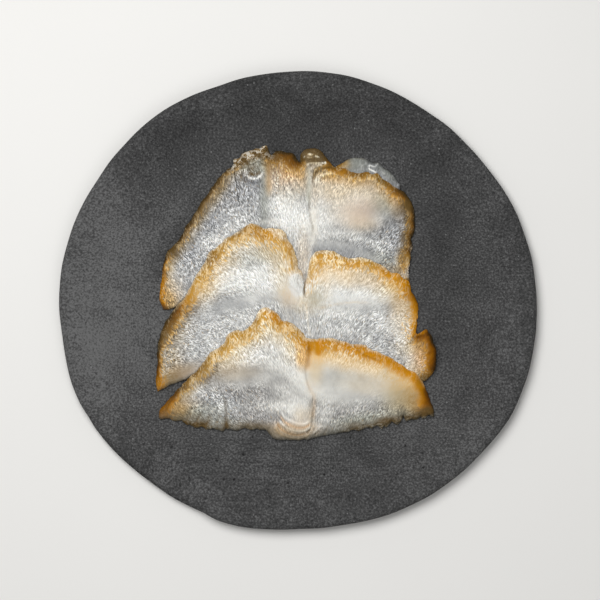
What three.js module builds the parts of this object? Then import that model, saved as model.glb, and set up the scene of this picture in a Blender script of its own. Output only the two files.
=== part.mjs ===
// A round handmade stoneware plate with cold-smoked Greenland halibut on it: three wide slices in
// rows that overlap like roof tiles, and a smaller slice that peeps out from under the back row.
// Each slice is cut across a whole fillet, so it has a left and a right lobe that meet at a seam.
// Its rear edge is the round, smoked outside of the fillet, and its front edge is cut thin.
//
// Millimetres, +Z up. The plate stands on z = 0 with its middle at the origin, and -Y is the side
// of the front row.

import * as THREE from "three";

// The plate: a thick slab with a soft, slightly raised rim and an outline that wanders by hand.
const plateRadius = 137.3;
const plateSegments = 88;
const plateTop = 8.2;
const rimRise = 1.8;
const footShare = 0.88;
const footRound = 3.2;
const plateWobbles = [
  { waves: 1, reach: 1.25, phase: 107 },
  { waves: 2, reach: 2.85, phase: 8 },
  { waves: 3, reach: 1.26, phase: 77 },
  { waves: 4, reach: 0.3, phase: 117 },
  { waves: 6, reach: 0.32, phase: -104 },
  { waves: 8, reach: 0.39, phase: 127 },
  { waves: 9, reach: 0.35, phase: -102 },
];

// The fish: how thick a slice is, how far its smoked rind rounds over, and how it lies.
const sliceThickness = 3;
const rindWidth = 4.6;
const cutWidth = 3.4;
const edgeThickness = 0.7;
const restGap = 0.35;
const sliceRows = 12;
const rearRows = [0, 0.9, 2.4, 5];
const frontRows = [3.2, 1.1, 0];
const shortestLine = 18;
const bowColumns = 6;

// The drape: a slice bridges the step at the edge of what is under it.
const fieldCell = 1.2;
const fieldReach = 96;
const bridgeReach = 3;
const softenReach = 3;
const softenPasses = 3;
const settlePasses = 40;

const radians = THREE.MathUtils.degToRad;
const smooth = THREE.MathUtils.smoothstep;
const highest = (values) => Math.max(...values);
const average = (values) => values.reduce((sum, value) => sum + value, 0) / values.length;

function plateEdge(angle) {
  const wander = plateWobbles.reduce(
    (sum, w) => sum + w.reach * Math.cos(w.waves * angle + radians(w.phase)),
    0,
  );
  return plateRadius + wander;
}

// Half of the plate's section, from the middle of its foot round the rim to the middle of its top.
function plateSection() {
  const rimTop = plateTop + rimRise;
  const foot = plateRadius * footShare;
  return [
    [0, 0],
    [foot, 0],
    [plateRadius * 0.955, footRound],
    [plateRadius * 0.99, plateTop * 0.6],
    [plateRadius, plateTop * 0.86],
    [plateRadius * 0.994, rimTop - 1.1],
    [plateRadius * 0.978, rimTop - 0.1],
    [plateRadius * 0.955, rimTop],
    [plateRadius * 0.9, plateTop + rimRise * 0.6],
    [plateRadius * 0.83, plateTop],
    [0, plateTop],
  ].map(([r, z]) => new THREE.Vector2(r, z));
}

// The section is turned once round, then each vertex is drawn out to the hand-shaped outline, and
// the whole is slid so that the outline's box is centred on the origin.
function plateGeometry() {
  const geometry = new THREE.LatheGeometry(plateSection(), plateSegments).rotateX(Math.PI / 2);
  const place = geometry.getAttribute("position");
  for (let i = 0; i < place.count; i += 1) {
    const stretch = plateEdge(Math.atan2(place.getY(i), place.getX(i))) / plateRadius;
    place.setX(i, place.getX(i) * stretch);
    place.setY(i, place.getY(i) * stretch);
  }
  geometry.computeBoundingBox();
  const middle = geometry.boundingBox.getCenter(new THREE.Vector3());
  return geometry.translate(-middle.x, -middle.y, 0);
}

// Heights over a square of the plate, as what a new slice would come to lie on.
class HeightField {
  constructor(level) {
    this.count = Math.round((2 * fieldReach) / fieldCell) + 1;
    this.heights = new Float32Array(this.count * this.count).fill(level);
  }

  cellOf(value) {
    return (value + fieldReach) / fieldCell;
  }

  read(column, row) {
    const last = this.count - 1;
    const c = Math.min(Math.max(column, 0), last);
    const r = Math.min(Math.max(row, 0), last);
    return this.heights[r * this.count + c];
  }

  at(x, y) {
    const c = Math.floor(this.cellOf(x));
    const r = Math.floor(this.cellOf(y));
    const s = this.cellOf(x) - c;
    const t = this.cellOf(y) - r;
    const near = this.read(c, r) * (1 - s) + this.read(c + 1, r) * s;
    const far = this.read(c, r + 1) * (1 - s) + this.read(c + 1, r + 1) * s;
    return near * (1 - t) + far * t;
  }

  // A copy where each cell holds what combine makes of the cells within reach of it.
  filtered(reach, combine) {
    const cells = Math.round(reach / fieldCell);
    const made = new HeightField(0);
    for (let r = 0; r < this.count; r += 1) {
      for (let c = 0; c < this.count; c += 1) {
        const near = [];
        for (let dr = -cells; dr <= cells; dr += 1) {
          for (let dc = -cells; dc <= cells; dc += 1) {
            if (dr * dr + dc * dc <= cells * cells) near.push(this.read(c + dc, r + dr));
          }
        }
        made.heights[r * this.count + c] = combine(near);
      }
    }
    return made;
  }

  // The sheet that a limp slice makes over the heights: it bridges steps and never dips into them.
  draped() {
    let sheet = this.filtered(bridgeReach, highest);
    for (let pass = 0; pass < softenPasses; pass += 1) sheet = sheet.filtered(softenReach, average);
    const floor = this.filtered(fieldCell, highest);
    sheet.heights.forEach((h, i) => {
      sheet.heights[i] = Math.max(h, floor.heights[i]);
    });
    return sheet;
  }

  // Calls visit(cell index, weights) for each cell centre that the flat triangle covers, and for
  // the cell that each of its corners is in.
  cover([a, b, c], visit) {
    [a, b, c].forEach((corner, i) => {
      const column = Math.round(this.cellOf(corner.x));
      const row = Math.round(this.cellOf(corner.y));
      visit(row * this.count + column, [i === 0 ? 1 : 0, i === 1 ? 1 : 0, i === 2 ? 1 : 0]);
    });
    const area = (b.x - a.x) * (c.y - a.y) - (c.x - a.x) * (b.y - a.y);
    if (Math.abs(area) < 1e-6) return;
    const span = (axis) => [
      Math.ceil(this.cellOf(Math.min(a[axis], b[axis], c[axis]))),
      Math.floor(this.cellOf(Math.max(a[axis], b[axis], c[axis]))),
    ];
    const [firstColumn, lastColumn] = span("x");
    const [firstRow, lastRow] = span("y");
    for (let r = firstRow; r <= lastRow; r += 1) {
      for (let q = firstColumn; q <= lastColumn; q += 1) {
        const x = q * fieldCell - fieldReach;
        const y = r * fieldCell - fieldReach;
        const wb = ((x - a.x) * (c.y - a.y) - (c.x - a.x) * (y - a.y)) / area;
        const wc = ((b.x - a.x) * (y - a.y) - (x - a.x) * (b.y - a.y)) / area;
        const wa = 1 - wb - wc;
        if (Math.min(wa, wb, wc) >= -1e-9) visit(r * this.count + q, [wa, wb, wc]);
      }
    }
  }

  raise(triangle) {
    this.cover(triangle, (cell, [wa, wb, wc]) => {
      const z = triangle[0].z * wa + triangle[1].z * wb + triangle[2].z * wc;
      this.heights[cell] = Math.max(this.heights[cell], z);
    });
  }
}

// A smooth line through [x, y] points, cut into equal steps. The line's last steps shorten
// towards the seam, where the relief is finest.
function spread(points, steps, towardsSeam) {
  const curve = new THREE.CatmullRomCurve3(
    points.map(([x, y]) => new THREE.Vector3(x, y, 0)),
    false,
    "centripetal",
  );
  return Array.from({ length: steps + 1 }, (_, i) => {
    const t = i / steps;
    const eased = towardsSeam
      ? 0.7 * t + 0.3 * Math.sin((t * Math.PI) / 2)
      : 0.7 * t + 0.3 * (1 - Math.cos((t * Math.PI) / 2));
    return curve.getPointAt(Math.min(eased, 1));
  });
}

function bothLobes(edge, columns) {
  const left = spread(edge.left, columns.left, true);
  const right = spread(edge.right, columns.right, false);
  return [...left, ...right.slice(1)];
}

// Small bites out of a cut edge: scallops with sharp corners between them.
function fringed(line, fringe) {
  if (!fringe) return line;
  return line.map((p) => {
    const part = fringe.find((f) => p.x >= f.from && p.x <= f.to);
    if (!part) return p;
    const fade = Math.min(1, (p.x - part.from) / part.pitch, (part.to - p.x) / part.pitch);
    const bite = part.depth * (1 - Math.abs(Math.sin((Math.PI * (p.x - part.from)) / part.pitch)));
    return new THREE.Vector3(p.x, p.y + bite * Math.max(fade, 0), 0);
  });
}

// Where a row of the slice lies, as a share of the line from its rear edge to its front edge.
function rowShare(row, length) {
  const scale = Math.min(1, length / shortestLine);
  const rear = rearRows.map((d) => (d * scale) / length);
  const front = frontRows.map((d) => 1 - (d * scale) / length);
  if (row < rear.length) return rear[row];
  const toFront = sliceRows - row;
  if (toFront < front.length) return front[front.length - 1 - toFront];
  const firstMiddle = rear.length - 1;
  const lastMiddle = sliceRows - front.length + 1;
  const t = (row - firstMiddle) / (lastMiddle - firstMiddle);
  return THREE.MathUtils.lerp(rear[firstMiddle], front[0], t);
}

function distanceTo(line, x, y) {
  return Math.min(...line.map((p) => Math.hypot(p.x - x, p.y - y)));
}

function roundOver(distance, width) {
  const inwards = Math.min(distance / width, 1);
  return Math.sqrt(1 - (1 - inwards) ** 2);
}

function bump(spots, x, y) {
  return (spots ?? []).reduce((sum, s) => {
    const far = Math.hypot((x - s.x) / s.wide, (y - s.y) / (s.deep ?? s.wide));
    return sum + s.high * Math.exp(-far * far);
  }, 0);
}

// The seam's relief on the upper face: a crack, or a pleat whose left side stands over its right.
function seamRelief(seam, offset, share) {
  if (!seam) return 0;
  const along = smooth(share, seam.from - 0.02, seam.from) * (1 - smooth(share, seam.to - 0.1, seam.to));
  const crack = -(seam.crack ?? 0) * Math.exp(-((offset / seam.width) ** 2));
  const side = offset > 0 ? 0 : 1 - smooth(-offset, seam.pleatWidth ?? 1, 2 * (seam.pleatWidth ?? 1));
  return (crack + (seam.pleat ?? 0) * side) * along;
}

// One slice: a box of many small faces whose layers are laid out between the slice's two edges,
// and whose underside is let down on what is already on the plate.
function sliceGeometry(shape, field) {
  const rear = bothLobes(shape.rear, shape.columns);
  const front = fringed(bothLobes(shape.front, shape.columns), shape.fringe);
  const seamColumn = shape.columns.left;
  const columns = rear.length - 1;
  const ends = [0, columns].flatMap((c) =>
    [0, 0.25, 0.5, 0.75, 1].map((t) => rear[c].clone().lerp(front[c], t)),
  );
  const rind = [...fineLine(rear), ...ends];
  const cut = fineLine(front);
  const sheet = field.draped();
  const floor = field.filtered(fieldCell, highest);

  const vertexAt = (column, row) => {
    const a = rear[column];
    const b = front[column];
    const share = rowShare(row, a.distanceTo(b));
    const bow = (shape.seam?.bow ?? 0) * Math.sin(Math.PI * share);
    const near = Math.exp(-(((column - seamColumn) / bowColumns) ** 2));
    const x = THREE.MathUtils.lerp(a.x, b.x, share) + bow * near;
    const y = THREE.MathUtils.lerp(a.y, b.y, share);
    const seamX = THREE.MathUtils.lerp(rear[seamColumn].x, front[seamColumn].x, share) + bow;
    const body = sliceThickness + bump(shape.swells, x, y) + seamRelief(shape.seam, x - seamX, share);
    const round = Math.min(
      roundOver(distanceTo(rind, x, y), rindWidth),
      roundOver(distanceTo(cut, x, y), cutWidth),
    );
    const under = sheet.at(x, y) + restGap + bump(shape.lifts, x, y);
    return { x, y, under, thick: edgeThickness + (body - edgeThickness) * round };
  };
  const grid = Array.from({ length: columns + 1 }, (_, c) =>
    Array.from({ length: sliceRows + 1 }, (_, r) => vertexAt(c, r)),
  );
  settle(grid, floor);

  const geometry = new THREE.BoxGeometry(1, 1, 1, columns, sliceRows, 1);
  const place = geometry.getAttribute("position");
  for (let i = 0; i < place.count; i += 1) {
    const column = Math.round((place.getX(i) + 0.5) * columns);
    const row = Math.round((0.5 - place.getY(i)) * sliceRows);
    const v = grid[column][row];
    place.setXYZ(i, v.x, v.y, place.getZ(i) > 0 ? v.under + v.thick : v.under);
  }
  geometry.computeVertexNormals();
  eachTriangle(grid, (corners) =>
    field.raise(corners.map((v) => new THREE.Vector3(v.x, v.y, v.under + v.thick))),
  );
  return geometry;
}

// Extra points between those of a line, so that distances to it are even.
function fineLine(line) {
  return line.flatMap((p, i) =>
    i === 0 ? [p] : [1 / 3, 2 / 3, 1].map((t) => line[i - 1].clone().lerp(p, t)),
  );
}

// Both ways of cutting each small four-sided face in two, so that either is clear of the field.
function eachTriangle(grid, visit) {
  for (let c = 0; c + 1 < grid.length; c += 1) {
    for (let r = 0; r + 1 < grid[c].length; r += 1) {
      const [p, q, s, t] = [grid[c][r], grid[c + 1][r], grid[c + 1][r + 1], grid[c][r + 1]];
      [[p, q, s], [p, s, t], [p, q, t], [q, s, t]].forEach(visit);
    }
  }
}

// Lifts the underside wherever one of its flat faces would cut into what it lies on.
function settle(grid, floor) {
  for (let pass = 0; pass < settlePasses; pass += 1) {
    let worst = 0;
    eachTriangle(grid, (corners) => {
      floor.cover(corners, (cell, [wa, wb, wc]) => {
        const z = corners[0].under * wa + corners[1].under * wb + corners[2].under * wc;
        const short = floor.heights[cell] + restGap - z;
        if (short <= 1e-3) return;
        worst = Math.max(worst, short);
        corners.forEach((v) => {
          v.under += short * 0.6;
        });
      });
    });
    if (worst < 0.02) return;
  }
}

// The small slice, nearly all of it under the back row.
const underSlice = {
  columns: { left: 15, right: 17 },
  rear: {
    left: [[-17, 75], [-5, 79], [10, 78.5], [21, 77.5]],
    right: [[21, 77.5], [26.5, 81.5], [33.5, 83.5], [44, 82.5], [53, 76], [60, 67.5]],
  },
  front: {
    left: [[-17.5, 50], [-7.5, 43.5], [5, 41.5], [17, 40.5]],
    right: [[17, 40.5], [32, 40.5], [47, 44.5], [58.5, 54]],
  },
};

const backSlice = {
  columns: { left: 31, right: 29 },
  rear: {
    left: [
      [-80.5, 1], [-78.5, 23], [-72, 33], [-62.5, 47.5], [-54, 61.5], [-46, 72], [-38, 81.5],
      [-27.5, 88], [-19, 90], [-16, 85], [-11, 87], [-3.5, 85.5], [1.5, 81], [3.5, 87], [8, 89],
    ],
    right: [
      [8, 89], [13.5, 87.5], [16.5, 82.5], [22.5, 78], [35, 74.5], [45.5, 75], [58, 66.5],
      [65.5, 58], [68, 47.5], [65.5, 35.5], [66.5, 28.5], [65.5, 11.5],
    ],
  },
  front: {
    left: [[-78, -5], [-70, -3.5], [-57.5, 4.5], [-37, 7.5], [-13.5, 6], [4.5, -1]],
    right: [[4.5, -1], [16, -4], [31.5, 0], [49, 0.5], [62.5, 4]],
  },
  seam: { from: 0.08, to: 0.6, crack: 2.2, width: 1.2 },
  swells: [
    { x: 8.5, y: 86, wide: 5, high: 1.2 },
    { x: -11, y: 82, wide: 8, high: 0.8 },
    { x: -29, y: 84, wide: 8, high: 0.7 },
  ],
  lifts: [{ x: 66, y: 24, wide: 8, high: 1 }],
};

const middleSlice = {
  columns: { left: 31, right: 31 },
  rear: {
    left: [
      [-82.5, -51], [-81.5, -35], [-80, -21], [-75, -9], [-66, 2], [-54.5, 22.5], [-46, 32],
      [-37, 39], [-27.5, 44], [-20.5, 41.5], [-13.5, 42.5], [-6.5, 37.5], [-1, 25.5], [0.5, 16.5],
      [3, 8.5],
    ],
    right: [
      [3, 8.5], [4.5, 15], [7, 24.5], [14, 29], [20.5, 29], [30.5, 24.5], [43.5, 23], [55, 16.5],
      [63, 11.5], [68, 2], [70.5, -8], [69, -19.5], [75, -17], [79, -25], [81, -31.5], [79, -38],
    ],
  },
  front: {
    left: [
      [-82, -53.5], [-75, -49], [-64.5, -45.5], [-48.5, -38.5], [-28, -35.5], [-7.5, -39.5],
      [6, -52.5],
    ],
    right: [[6, -52.5], [16, -57], [33.5, -57.5], [51, -56], [64, -52], [74, -46]],
  },
  seam: { from: 0, to: 0.4, crack: 1.8, width: 1.2 },
  swells: [{ x: -24, y: 36, wide: 14, high: 0.7 }],
  lifts: [{ x: 79, y: -28, wide: 9, deep: 14, high: 3.2 }],
};

const frontSlice = {
  columns: { left: 32, right: 38 },
  rear: {
    left: [
      [-81, -63.5], [-72, -53.5], [-63, -44.5], [-54.5, -36], [-48, -27.5], [-42, -23], [-37, -17.5],
      [-31.5, -17.5], [-27, -13.5], [-23, -7], [-19.5, -4.5], [-15, -6.5], [-10, -12], [-5, -12.5],
      [0.5, -16], [4.5, -21],
    ],
    right: [
      [4.5, -21], [10.5, -21.5], [21.5, -22.5], [33, -25.5], [43, -28.5], [52.5, -33], [63, -39.5],
      [71, -45], [75.5, -53], [79, -62.5],
    ],
  },
  front: {
    left: [
      [-80, -69], [-69, -72], [-55, -75.5], [-41.5, -75.5], [-27, -74.5], [-19, -74.5], [-13.5, -80.5],
      [-6, -82], [5.5, -80],
    ],
    right: [
      [5.5, -80], [14.5, -79.5], [27.5, -76.5], [42, -74], [57, -72], [68.5, -70], [78.5, -67],
    ],
  },
  fringe: [
    { from: 38, to: 77, pitch: 6.4, depth: 2.2 },
    { from: -70, to: -40, pitch: 7.5, depth: 1.3 },
  ],
  seam: { from: 0, to: 1.1, crack: 0.7, width: 1.4, pleat: 1.7, pleatWidth: 9, bow: 3 },
  swells: [{ x: -20, y: -12, wide: 9, high: 0.8 }],
};

const fleshColour = 0xd8d4c8;
const rindColour = 0xcfae78;
const thinFleshColour = 0xa9adac;
const stoneColour = 0x48484a;

function stoneware() {
  return new THREE.MeshStandardMaterial({ color: stoneColour, roughness: 0.85, metalness: 0 });
}

function smokedFish(color) {
  return new THREE.MeshStandardMaterial({ color, roughness: 0.38, metalness: 0 });
}

function namedMesh(name, geometry, material) {
  const mesh = new THREE.Mesh(geometry, material);
  mesh.name = name;
  return mesh;
}

const dish = new THREE.Group();
dish.add(namedMesh("plate", plateGeometry(), stoneware()));

// Each slice is let down on the ones before it.
const layField = new HeightField(plateTop);
[
  ["under_slice", underSlice, thinFleshColour],
  ["back_slice", backSlice, fleshColour],
  ["middle_slice", middleSlice, rindColour],
  ["front_slice", frontSlice, fleshColour],
].forEach(([name, shape, colour]) => {
  dish.add(namedMesh(name, sliceGeometry(shape, layField), smokedFish(colour)));
});

export default dish;
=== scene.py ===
import math

import bmesh
import bpy
import numpy as np
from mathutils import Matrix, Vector, noise


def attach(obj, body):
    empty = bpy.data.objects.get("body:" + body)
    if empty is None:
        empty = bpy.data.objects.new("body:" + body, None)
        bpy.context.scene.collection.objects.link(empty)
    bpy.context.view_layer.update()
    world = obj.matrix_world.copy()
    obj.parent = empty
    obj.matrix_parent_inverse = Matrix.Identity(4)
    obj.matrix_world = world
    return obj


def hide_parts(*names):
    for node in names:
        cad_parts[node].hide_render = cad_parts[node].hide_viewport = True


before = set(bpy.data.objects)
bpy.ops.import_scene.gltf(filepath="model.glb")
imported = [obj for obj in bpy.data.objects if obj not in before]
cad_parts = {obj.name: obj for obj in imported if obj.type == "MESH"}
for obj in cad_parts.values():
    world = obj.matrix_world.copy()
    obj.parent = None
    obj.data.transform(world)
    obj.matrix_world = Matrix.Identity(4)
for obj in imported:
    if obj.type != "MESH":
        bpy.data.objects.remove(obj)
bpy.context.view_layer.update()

# Sizes are in millimetres, with the plate's middle at the origin, and are turned into metres
# where a mesh is made.
mm = 0.001

# The camera looks straight down from this height: the width that it sees at the plate's top, and
# the point below it.
view = {"width": 351, "middle": (1.23, 0.18), "height": 1600, "sensor": 36}


# Lines and soft shapes

def curveThrough(points, stepsBetween=24):
    # a smooth curve through the points, as a fine polyline
    p = np.array(points, float)
    p = np.vstack([2 * p[0] - p[1], p, 2 * p[-1] - p[-2]])
    pieces = []
    for a, b, c, d in zip(p, p[1:], p[2:], p[3:]):
        k = np.cumsum([0, *(math.sqrt(math.dist(*pair)) for pair in ((a, b), (b, c), (c, d)))])
        t = np.linspace(k[1], k[2], stepsBetween, endpoint=False)[:, None]
        ab = (a * (k[1] - t) + b * (t - k[0])) / (k[1] - k[0])
        bc = (b * (k[2] - t) + c * (t - k[1])) / (k[2] - k[1])
        cd = (c * (k[3] - t) + d * (t - k[2])) / (k[3] - k[2])
        abc = (ab * (k[2] - t) + bc * (t - k[0])) / (k[2] - k[0])
        bcd = (bc * (k[3] - t) + cd * (t - k[1])) / (k[3] - k[1])
        pieces.append((abc * (k[2] - t) + bcd * (t - k[1])) / (k[2] - k[1]))
    return np.vstack([*pieces, p[-2][None]])


def lengthAlong(line):
    # how far each point of a polyline lies from its first one
    return np.concatenate([[0], np.cumsum(np.linalg.norm(np.diff(line, axis=0), axis=1))])


def pointsAlong(points, shares):
    # points of the curve at these shares of its length
    line = curveThrough(points)
    length = lengthAlong(line)
    at = np.asarray(shares) * length[-1]
    return np.column_stack([np.interp(at, length, line[:, 0]), np.interp(at, length, line[:, 1])])


def smoothStep(value, start, end):
    t = np.clip((value - start) / (end - start), 0, 1)
    return t * t * (3 - 2 * t)


def bell(value, halfWidth):
    return np.exp(-((value / halfWidth) ** 2))


def distanceTo(line, x, y):
    # distance to a polyline, and the share of the line where it is nearest
    best = np.full(x.shape, np.inf)
    share = np.zeros(x.shape)
    for i, (a, b) in enumerate(zip(line, line[1:])):
        along = b - a
        t = np.clip(((x - a[0]) * along[0] + (y - a[1]) * along[1]) / max(along @ along, 1e-9), 0, 1)
        far = np.hypot(x - a[0] - t * along[0], y - a[1] - t * along[1])
        share = np.where(far < best, (i + t) / (len(line) - 1), share)
        best = np.minimum(far, best)
    return best, share


def softSpots(places, x, y):
    # soft ellipses: (x, y, half width, half depth, amount), and last a turn in degrees, if any
    flatness = 1.3  # above 1, a spot's middle is flatter than a bell curve's
    total = np.zeros(x.shape)
    for cx, cy, wide, deep, amount, *turn in places:
        angle = math.radians(sum(turn))
        c, s = math.cos(angle), math.sin(angle)
        u = ((x - cx) * c + (y - cy) * s) / wide
        v = ((y - cy) * c - (x - cx) * s) / deep
        total += amount * np.exp(-((u * u + v * v) ** flatness))
    return total


def lumps(x, y, size, seed):
    # smooth unevenness of about -1 to 1, with lumps of this size
    spread = 1.6  # the noise itself stays within about 0.6
    at = zip(np.ravel(x) / size, np.ravel(y) / size)
    return np.array([noise.noise(Vector((a, b, seed))) for a, b in at]).reshape(np.shape(x)) * spread


def manyLumps(layers, x, y, seed):
    # the sum of layers of unevenness: (size, height)
    return sum(high * lumps(x, y, size, seed) for size, high in layers)


# Making shaders

plainWhite = (1, 1, 1, 1)


def tint(red, green, blue):
    # a screen colour of 0 to 255 as the linear colour that sockets take
    shares = [c / 255 for c in (red, green, blue)]
    return tuple(c / 12.92 if c <= 0.04045 else ((c + 0.055) / 1.055) ** 2.4 for c in shares) + (1,)


def addNode(tree, kind, sockets=None, **settings):
    node = tree.nodes.new(kind)
    for name, value in settings.items():
        setattr(node, name, value)
    for socket, value in (sockets or {}).items():
        if isinstance(value, bpy.types.NodeSocket):
            tree.links.new(value, node.inputs[socket])
        else:
            node.inputs[socket].default_value = value
    return node


def calc(tree, operation, a, b=0.0, clamp=False):
    sockets = {0: a, 1: b}
    return addNode(tree, "ShaderNodeMath", sockets, operation=operation, use_clamp=clamp).outputs[0]


def vectorCalc(tree, operation, sockets):
    return addNode(tree, "ShaderNodeVectorMath", sockets, operation=operation).outputs[0]


def remap(tree, value, low, high, toLow=0.0, toHigh=1.0, smooth=True):
    kind = "SMOOTHSTEP" if smooth else "LINEAR"
    sockets = {"Value": value, "From Min": low, "From Max": high, "To Min": toLow, "To Max": toHigh}
    return addNode(tree, "ShaderNodeMapRange", sockets, interpolation_type=kind).outputs["Result"]


def mixColours(tree, factor, a, b):
    return addNode(tree, "ShaderNodeMix", {0: factor, 6: a, 7: b}, data_type="RGBA").outputs[2]


def scaled(tree, vector, by):
    return vectorCalc(tree, "MULTIPLY", {0: vector, 1: by})


def brightened(tree, colour, by):
    return vectorCalc(tree, "SCALE", {0: colour, "Scale": by})


def noiseAt(tree, vector, scale, detail=2.0, roughness=0.5, distortion=0.0, output=0):
    sockets = {"Vector": vector, "Scale": scale, "Detail": detail}
    sockets |= {"Roughness": roughness, "Distortion": distortion}
    return addNode(tree, "ShaderNodeTexNoise", sockets).outputs[output]


def placeInMm(tree):
    return scaled(tree, addNode(tree, "ShaderNodeTexCoord").outputs["Object"], (1000.0, 1000.0, 1000.0))


def stored(tree, name):
    return addNode(tree, "ShaderNodeAttribute", attribute_name=name).outputs["Vector"]


def threeOf(tree, vector):
    return addNode(tree, "ShaderNodeSeparateXYZ", {0: vector}).outputs


def newGroup(name, inputs, outputs):
    tree = bpy.data.node_groups.new(name, "ShaderNodeTree")
    for label, kind in inputs.items():
        tree.interface.new_socket(label, in_out="INPUT", socket_type=kind)
    for label in outputs:
        tree.interface.new_socket(label, in_out="OUTPUT", socket_type="NodeSocketFloat")
    return tree, tree.nodes.new("NodeGroupInput").outputs, tree.nodes.new("NodeGroupOutput").inputs


def useGroup(tree, group, sockets):
    return addNode(tree, "ShaderNodeGroup", sockets, node_tree=group).outputs


def muscleFibreGroup():
    # short wavy strands that run along the second axis of the grain, in millimetres: their light
    # and dark, flecks of the same make, and the softer and broader streaks they lie in
    inputs = {"Grain": "NodeSocketVector", "Across": "NodeSocketFloat", "Along": "NodeSocketFloat"}
    tree, taken, given = newGroup("muscleFibre", inputs, ("Strand", "Fleck", "Streak"))
    wander = noiseAt(tree, taken["Grain"], 0.2, 1.0, output="Color")
    wander = vectorCalc(tree, "SUBTRACT", {0: wander, 1: (0.5, 0.5, 0.5)})
    bent = vectorCalc(tree, "MULTIPLY_ADD", {0: wander, 1: (3.2, 1.5, 0.0), 2: taken["Grain"]})
    perMm = [calc(tree, "DIVIDE", 1.0, taken[name]) for name in ("Across", "Along")]
    perMm = addNode(tree, "ShaderNodeCombineXYZ", {0: perMm[0], 1: perMm[1], 2: 1.0}).outputs[0]
    fine = scaled(tree, bent, perMm)
    strand = remap(tree, noiseAt(tree, fine, 1.0, 2.0, 0.55, 0.15), 0.34, 0.66)
    crest = noiseAt(tree, scaled(tree, fine, (0.68, 0.56, 1.0)), 1.0, 1.0, 0.5, 0.4)
    crest = calc(tree, "ABSOLUTE", calc(tree, "SUBTRACT", crest, 0.5))
    crest = remap(tree, crest, 0.0, 0.13, 0.6, 0.0, False)
    strand = calc(tree, "ADD", calc(tree, "MULTIPLY", strand, 0.54), crest)
    elsewhere = vectorCalc(tree, "ADD", {0: fine, 1: (17.3, 41.9, 5.0)})
    fleck = noiseAt(tree, scaled(tree, elsewhere, (0.72, 0.8, 1.0)), 1.0, 2.0, 0.5, 0.3)
    streak = noiseAt(tree, scaled(tree, bent, (0.42, 0.11, 1.0)), 1.0, 2.0)
    tree.links.new(strand, given["Strand"])
    tree.links.new(remap(tree, fleck, 0.32, 0.68, 0.0, 1.0, False), given["Fleck"])
    tree.links.new(remap(tree, streak, 0.3, 0.7, -1.0, 1.0, False), given["Streak"])
    return tree


def smokedRindGroup():
    # how much of the smoked rind shows, from the distance to the slice's edge and the rind's width,
    # in millimetres: solid at the edge, then breaking up into flecks, with a warm tinge that
    # reaches further in
    floats = ("Distance", "Width", "Fleck", "Thinned")
    inputs = {"Place": "NodeSocketVector"} | {name: "NodeSocketFloat" for name in floats}
    tree, taken, given = newGroup("smokedRind", inputs, ("Rind", "Outer", "Rim", "Tinge", "Shade"))
    distance, width, fleck, thinned = [taken[name] for name in floats]
    broad = noiseAt(tree, taken["Place"], 0.16, 3.0, 0.6)

    def wavering(value, reach):
        # moved in and out by up to this many millimetres
        return calc(tree, "ADD", value, remap(tree, broad, 0.3, 0.7, -reach, reach, False))

    share = calc(tree, "DIVIDE", wavering(distance, 1.3), width)
    thinning = calc(tree, "SUBTRACT", remap(tree, share, 0.2, 1.7, 1.15, -0.1, False), fleck)
    present = remap(tree, width, 0.5, 1.6)
    rind = calc(tree, "MULTIPLY", remap(tree, thinning, -0.32, 0.36), present)
    tattered = calc(tree, "ADD", distance, calc(tree, "MULTIPLY", fleck, 2.2))
    tattered = calc(tree, "SUBTRACT", wavering(tattered, 0.8), thinned)
    bare = remap(tree, tattered, 0.0, 2.2, 0.6, 0.0)
    bare = calc(tree, "MULTIPLY", bare, remap(tree, thinned, 0.1, 1.0))
    tinge = calc(tree, "MULTIPLY", remap(tree, share, 0.8, 3.6, 1.0, 0.0), present)
    tingeKept = calc(tree, "SUBTRACT", 1.0, calc(tree, "MULTIPLY", bare, 0.4))
    tree.links.new(calc(tree, "MULTIPLY", rind, calc(tree, "SUBTRACT", 1.0, bare)), given["Rind"])
    tree.links.new(remap(tree, share, 0.1, 1.3, 1.0, 0.0), given["Outer"])
    tree.links.new(remap(tree, wavering(distance, 0.7), 0.3, 2.4, 1.0, 0.0), given["Rim"])
    tree.links.new(calc(tree, "MULTIPLY", tinge, tingeKept), given["Tinge"])
    tree.links.new(remap(tree, share, 0.5, 2.3, 1.0, 0.0), given["Shade"])
    return tree


def stoneMottleGroup():
    # the clouds, grain, pits and specks of unglazed stoneware
    inputs = {"Place": "NodeSocketVector"}
    outputs = ("Cloud", "Grain", "Pit", "Speck", "Height")
    tree, taken, given = newGroup("stoneMottle", inputs, outputs)
    place = taken["Place"]
    marks = {
        "Cloud": noiseAt(tree, place, 0.035, 5.0, 0.62, 0.8),
        "Grain": noiseAt(tree, place, 0.85, 3.0, 0.75),
    }
    for name, scale, size in (("Pit", 0.19, 0.2), ("Speck", 0.24, 0.15)):
        sockets = {"Vector": place, "Scale": scale, "Randomness": 1.0}
        cells = addNode(tree, "ShaderNodeTexVoronoi", sockets).outputs
        dot = remap(tree, cells["Distance"], 0.35 * size, size, 1.0, 0.0)
        chosen = threeOf(tree, cells["Color"])[0]
        marks[name] = calc(tree, "MULTIPLY", dot, remap(tree, chosen, 0.4, 0.9))
    height = calc(tree, "ADD", marks["Grain"], calc(tree, "MULTIPLY", marks["Cloud"], 0.6))
    marks["Height"] = calc(tree, "SUBTRACT", height, marks["Pit"])
    for name in outputs:
        tree.links.new(marks[name], given[name])
    return tree


muscleFibre = muscleFibreGroup()
smokedRind = smokedRindGroup()
stoneMottle = stoneMottleGroup()


def newMaterial(name):
    material = bpy.data.materials.new(name)
    material.use_nodes = True
    tree = material.node_tree
    tree.nodes.clear()
    surface = tree.nodes.new("ShaderNodeOutputMaterial")
    shader = tree.nodes.new("ShaderNodeBsdfPrincipled")
    tree.links.new(shader.outputs[0], surface.inputs["Surface"])
    return material, tree, shader.inputs


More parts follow.
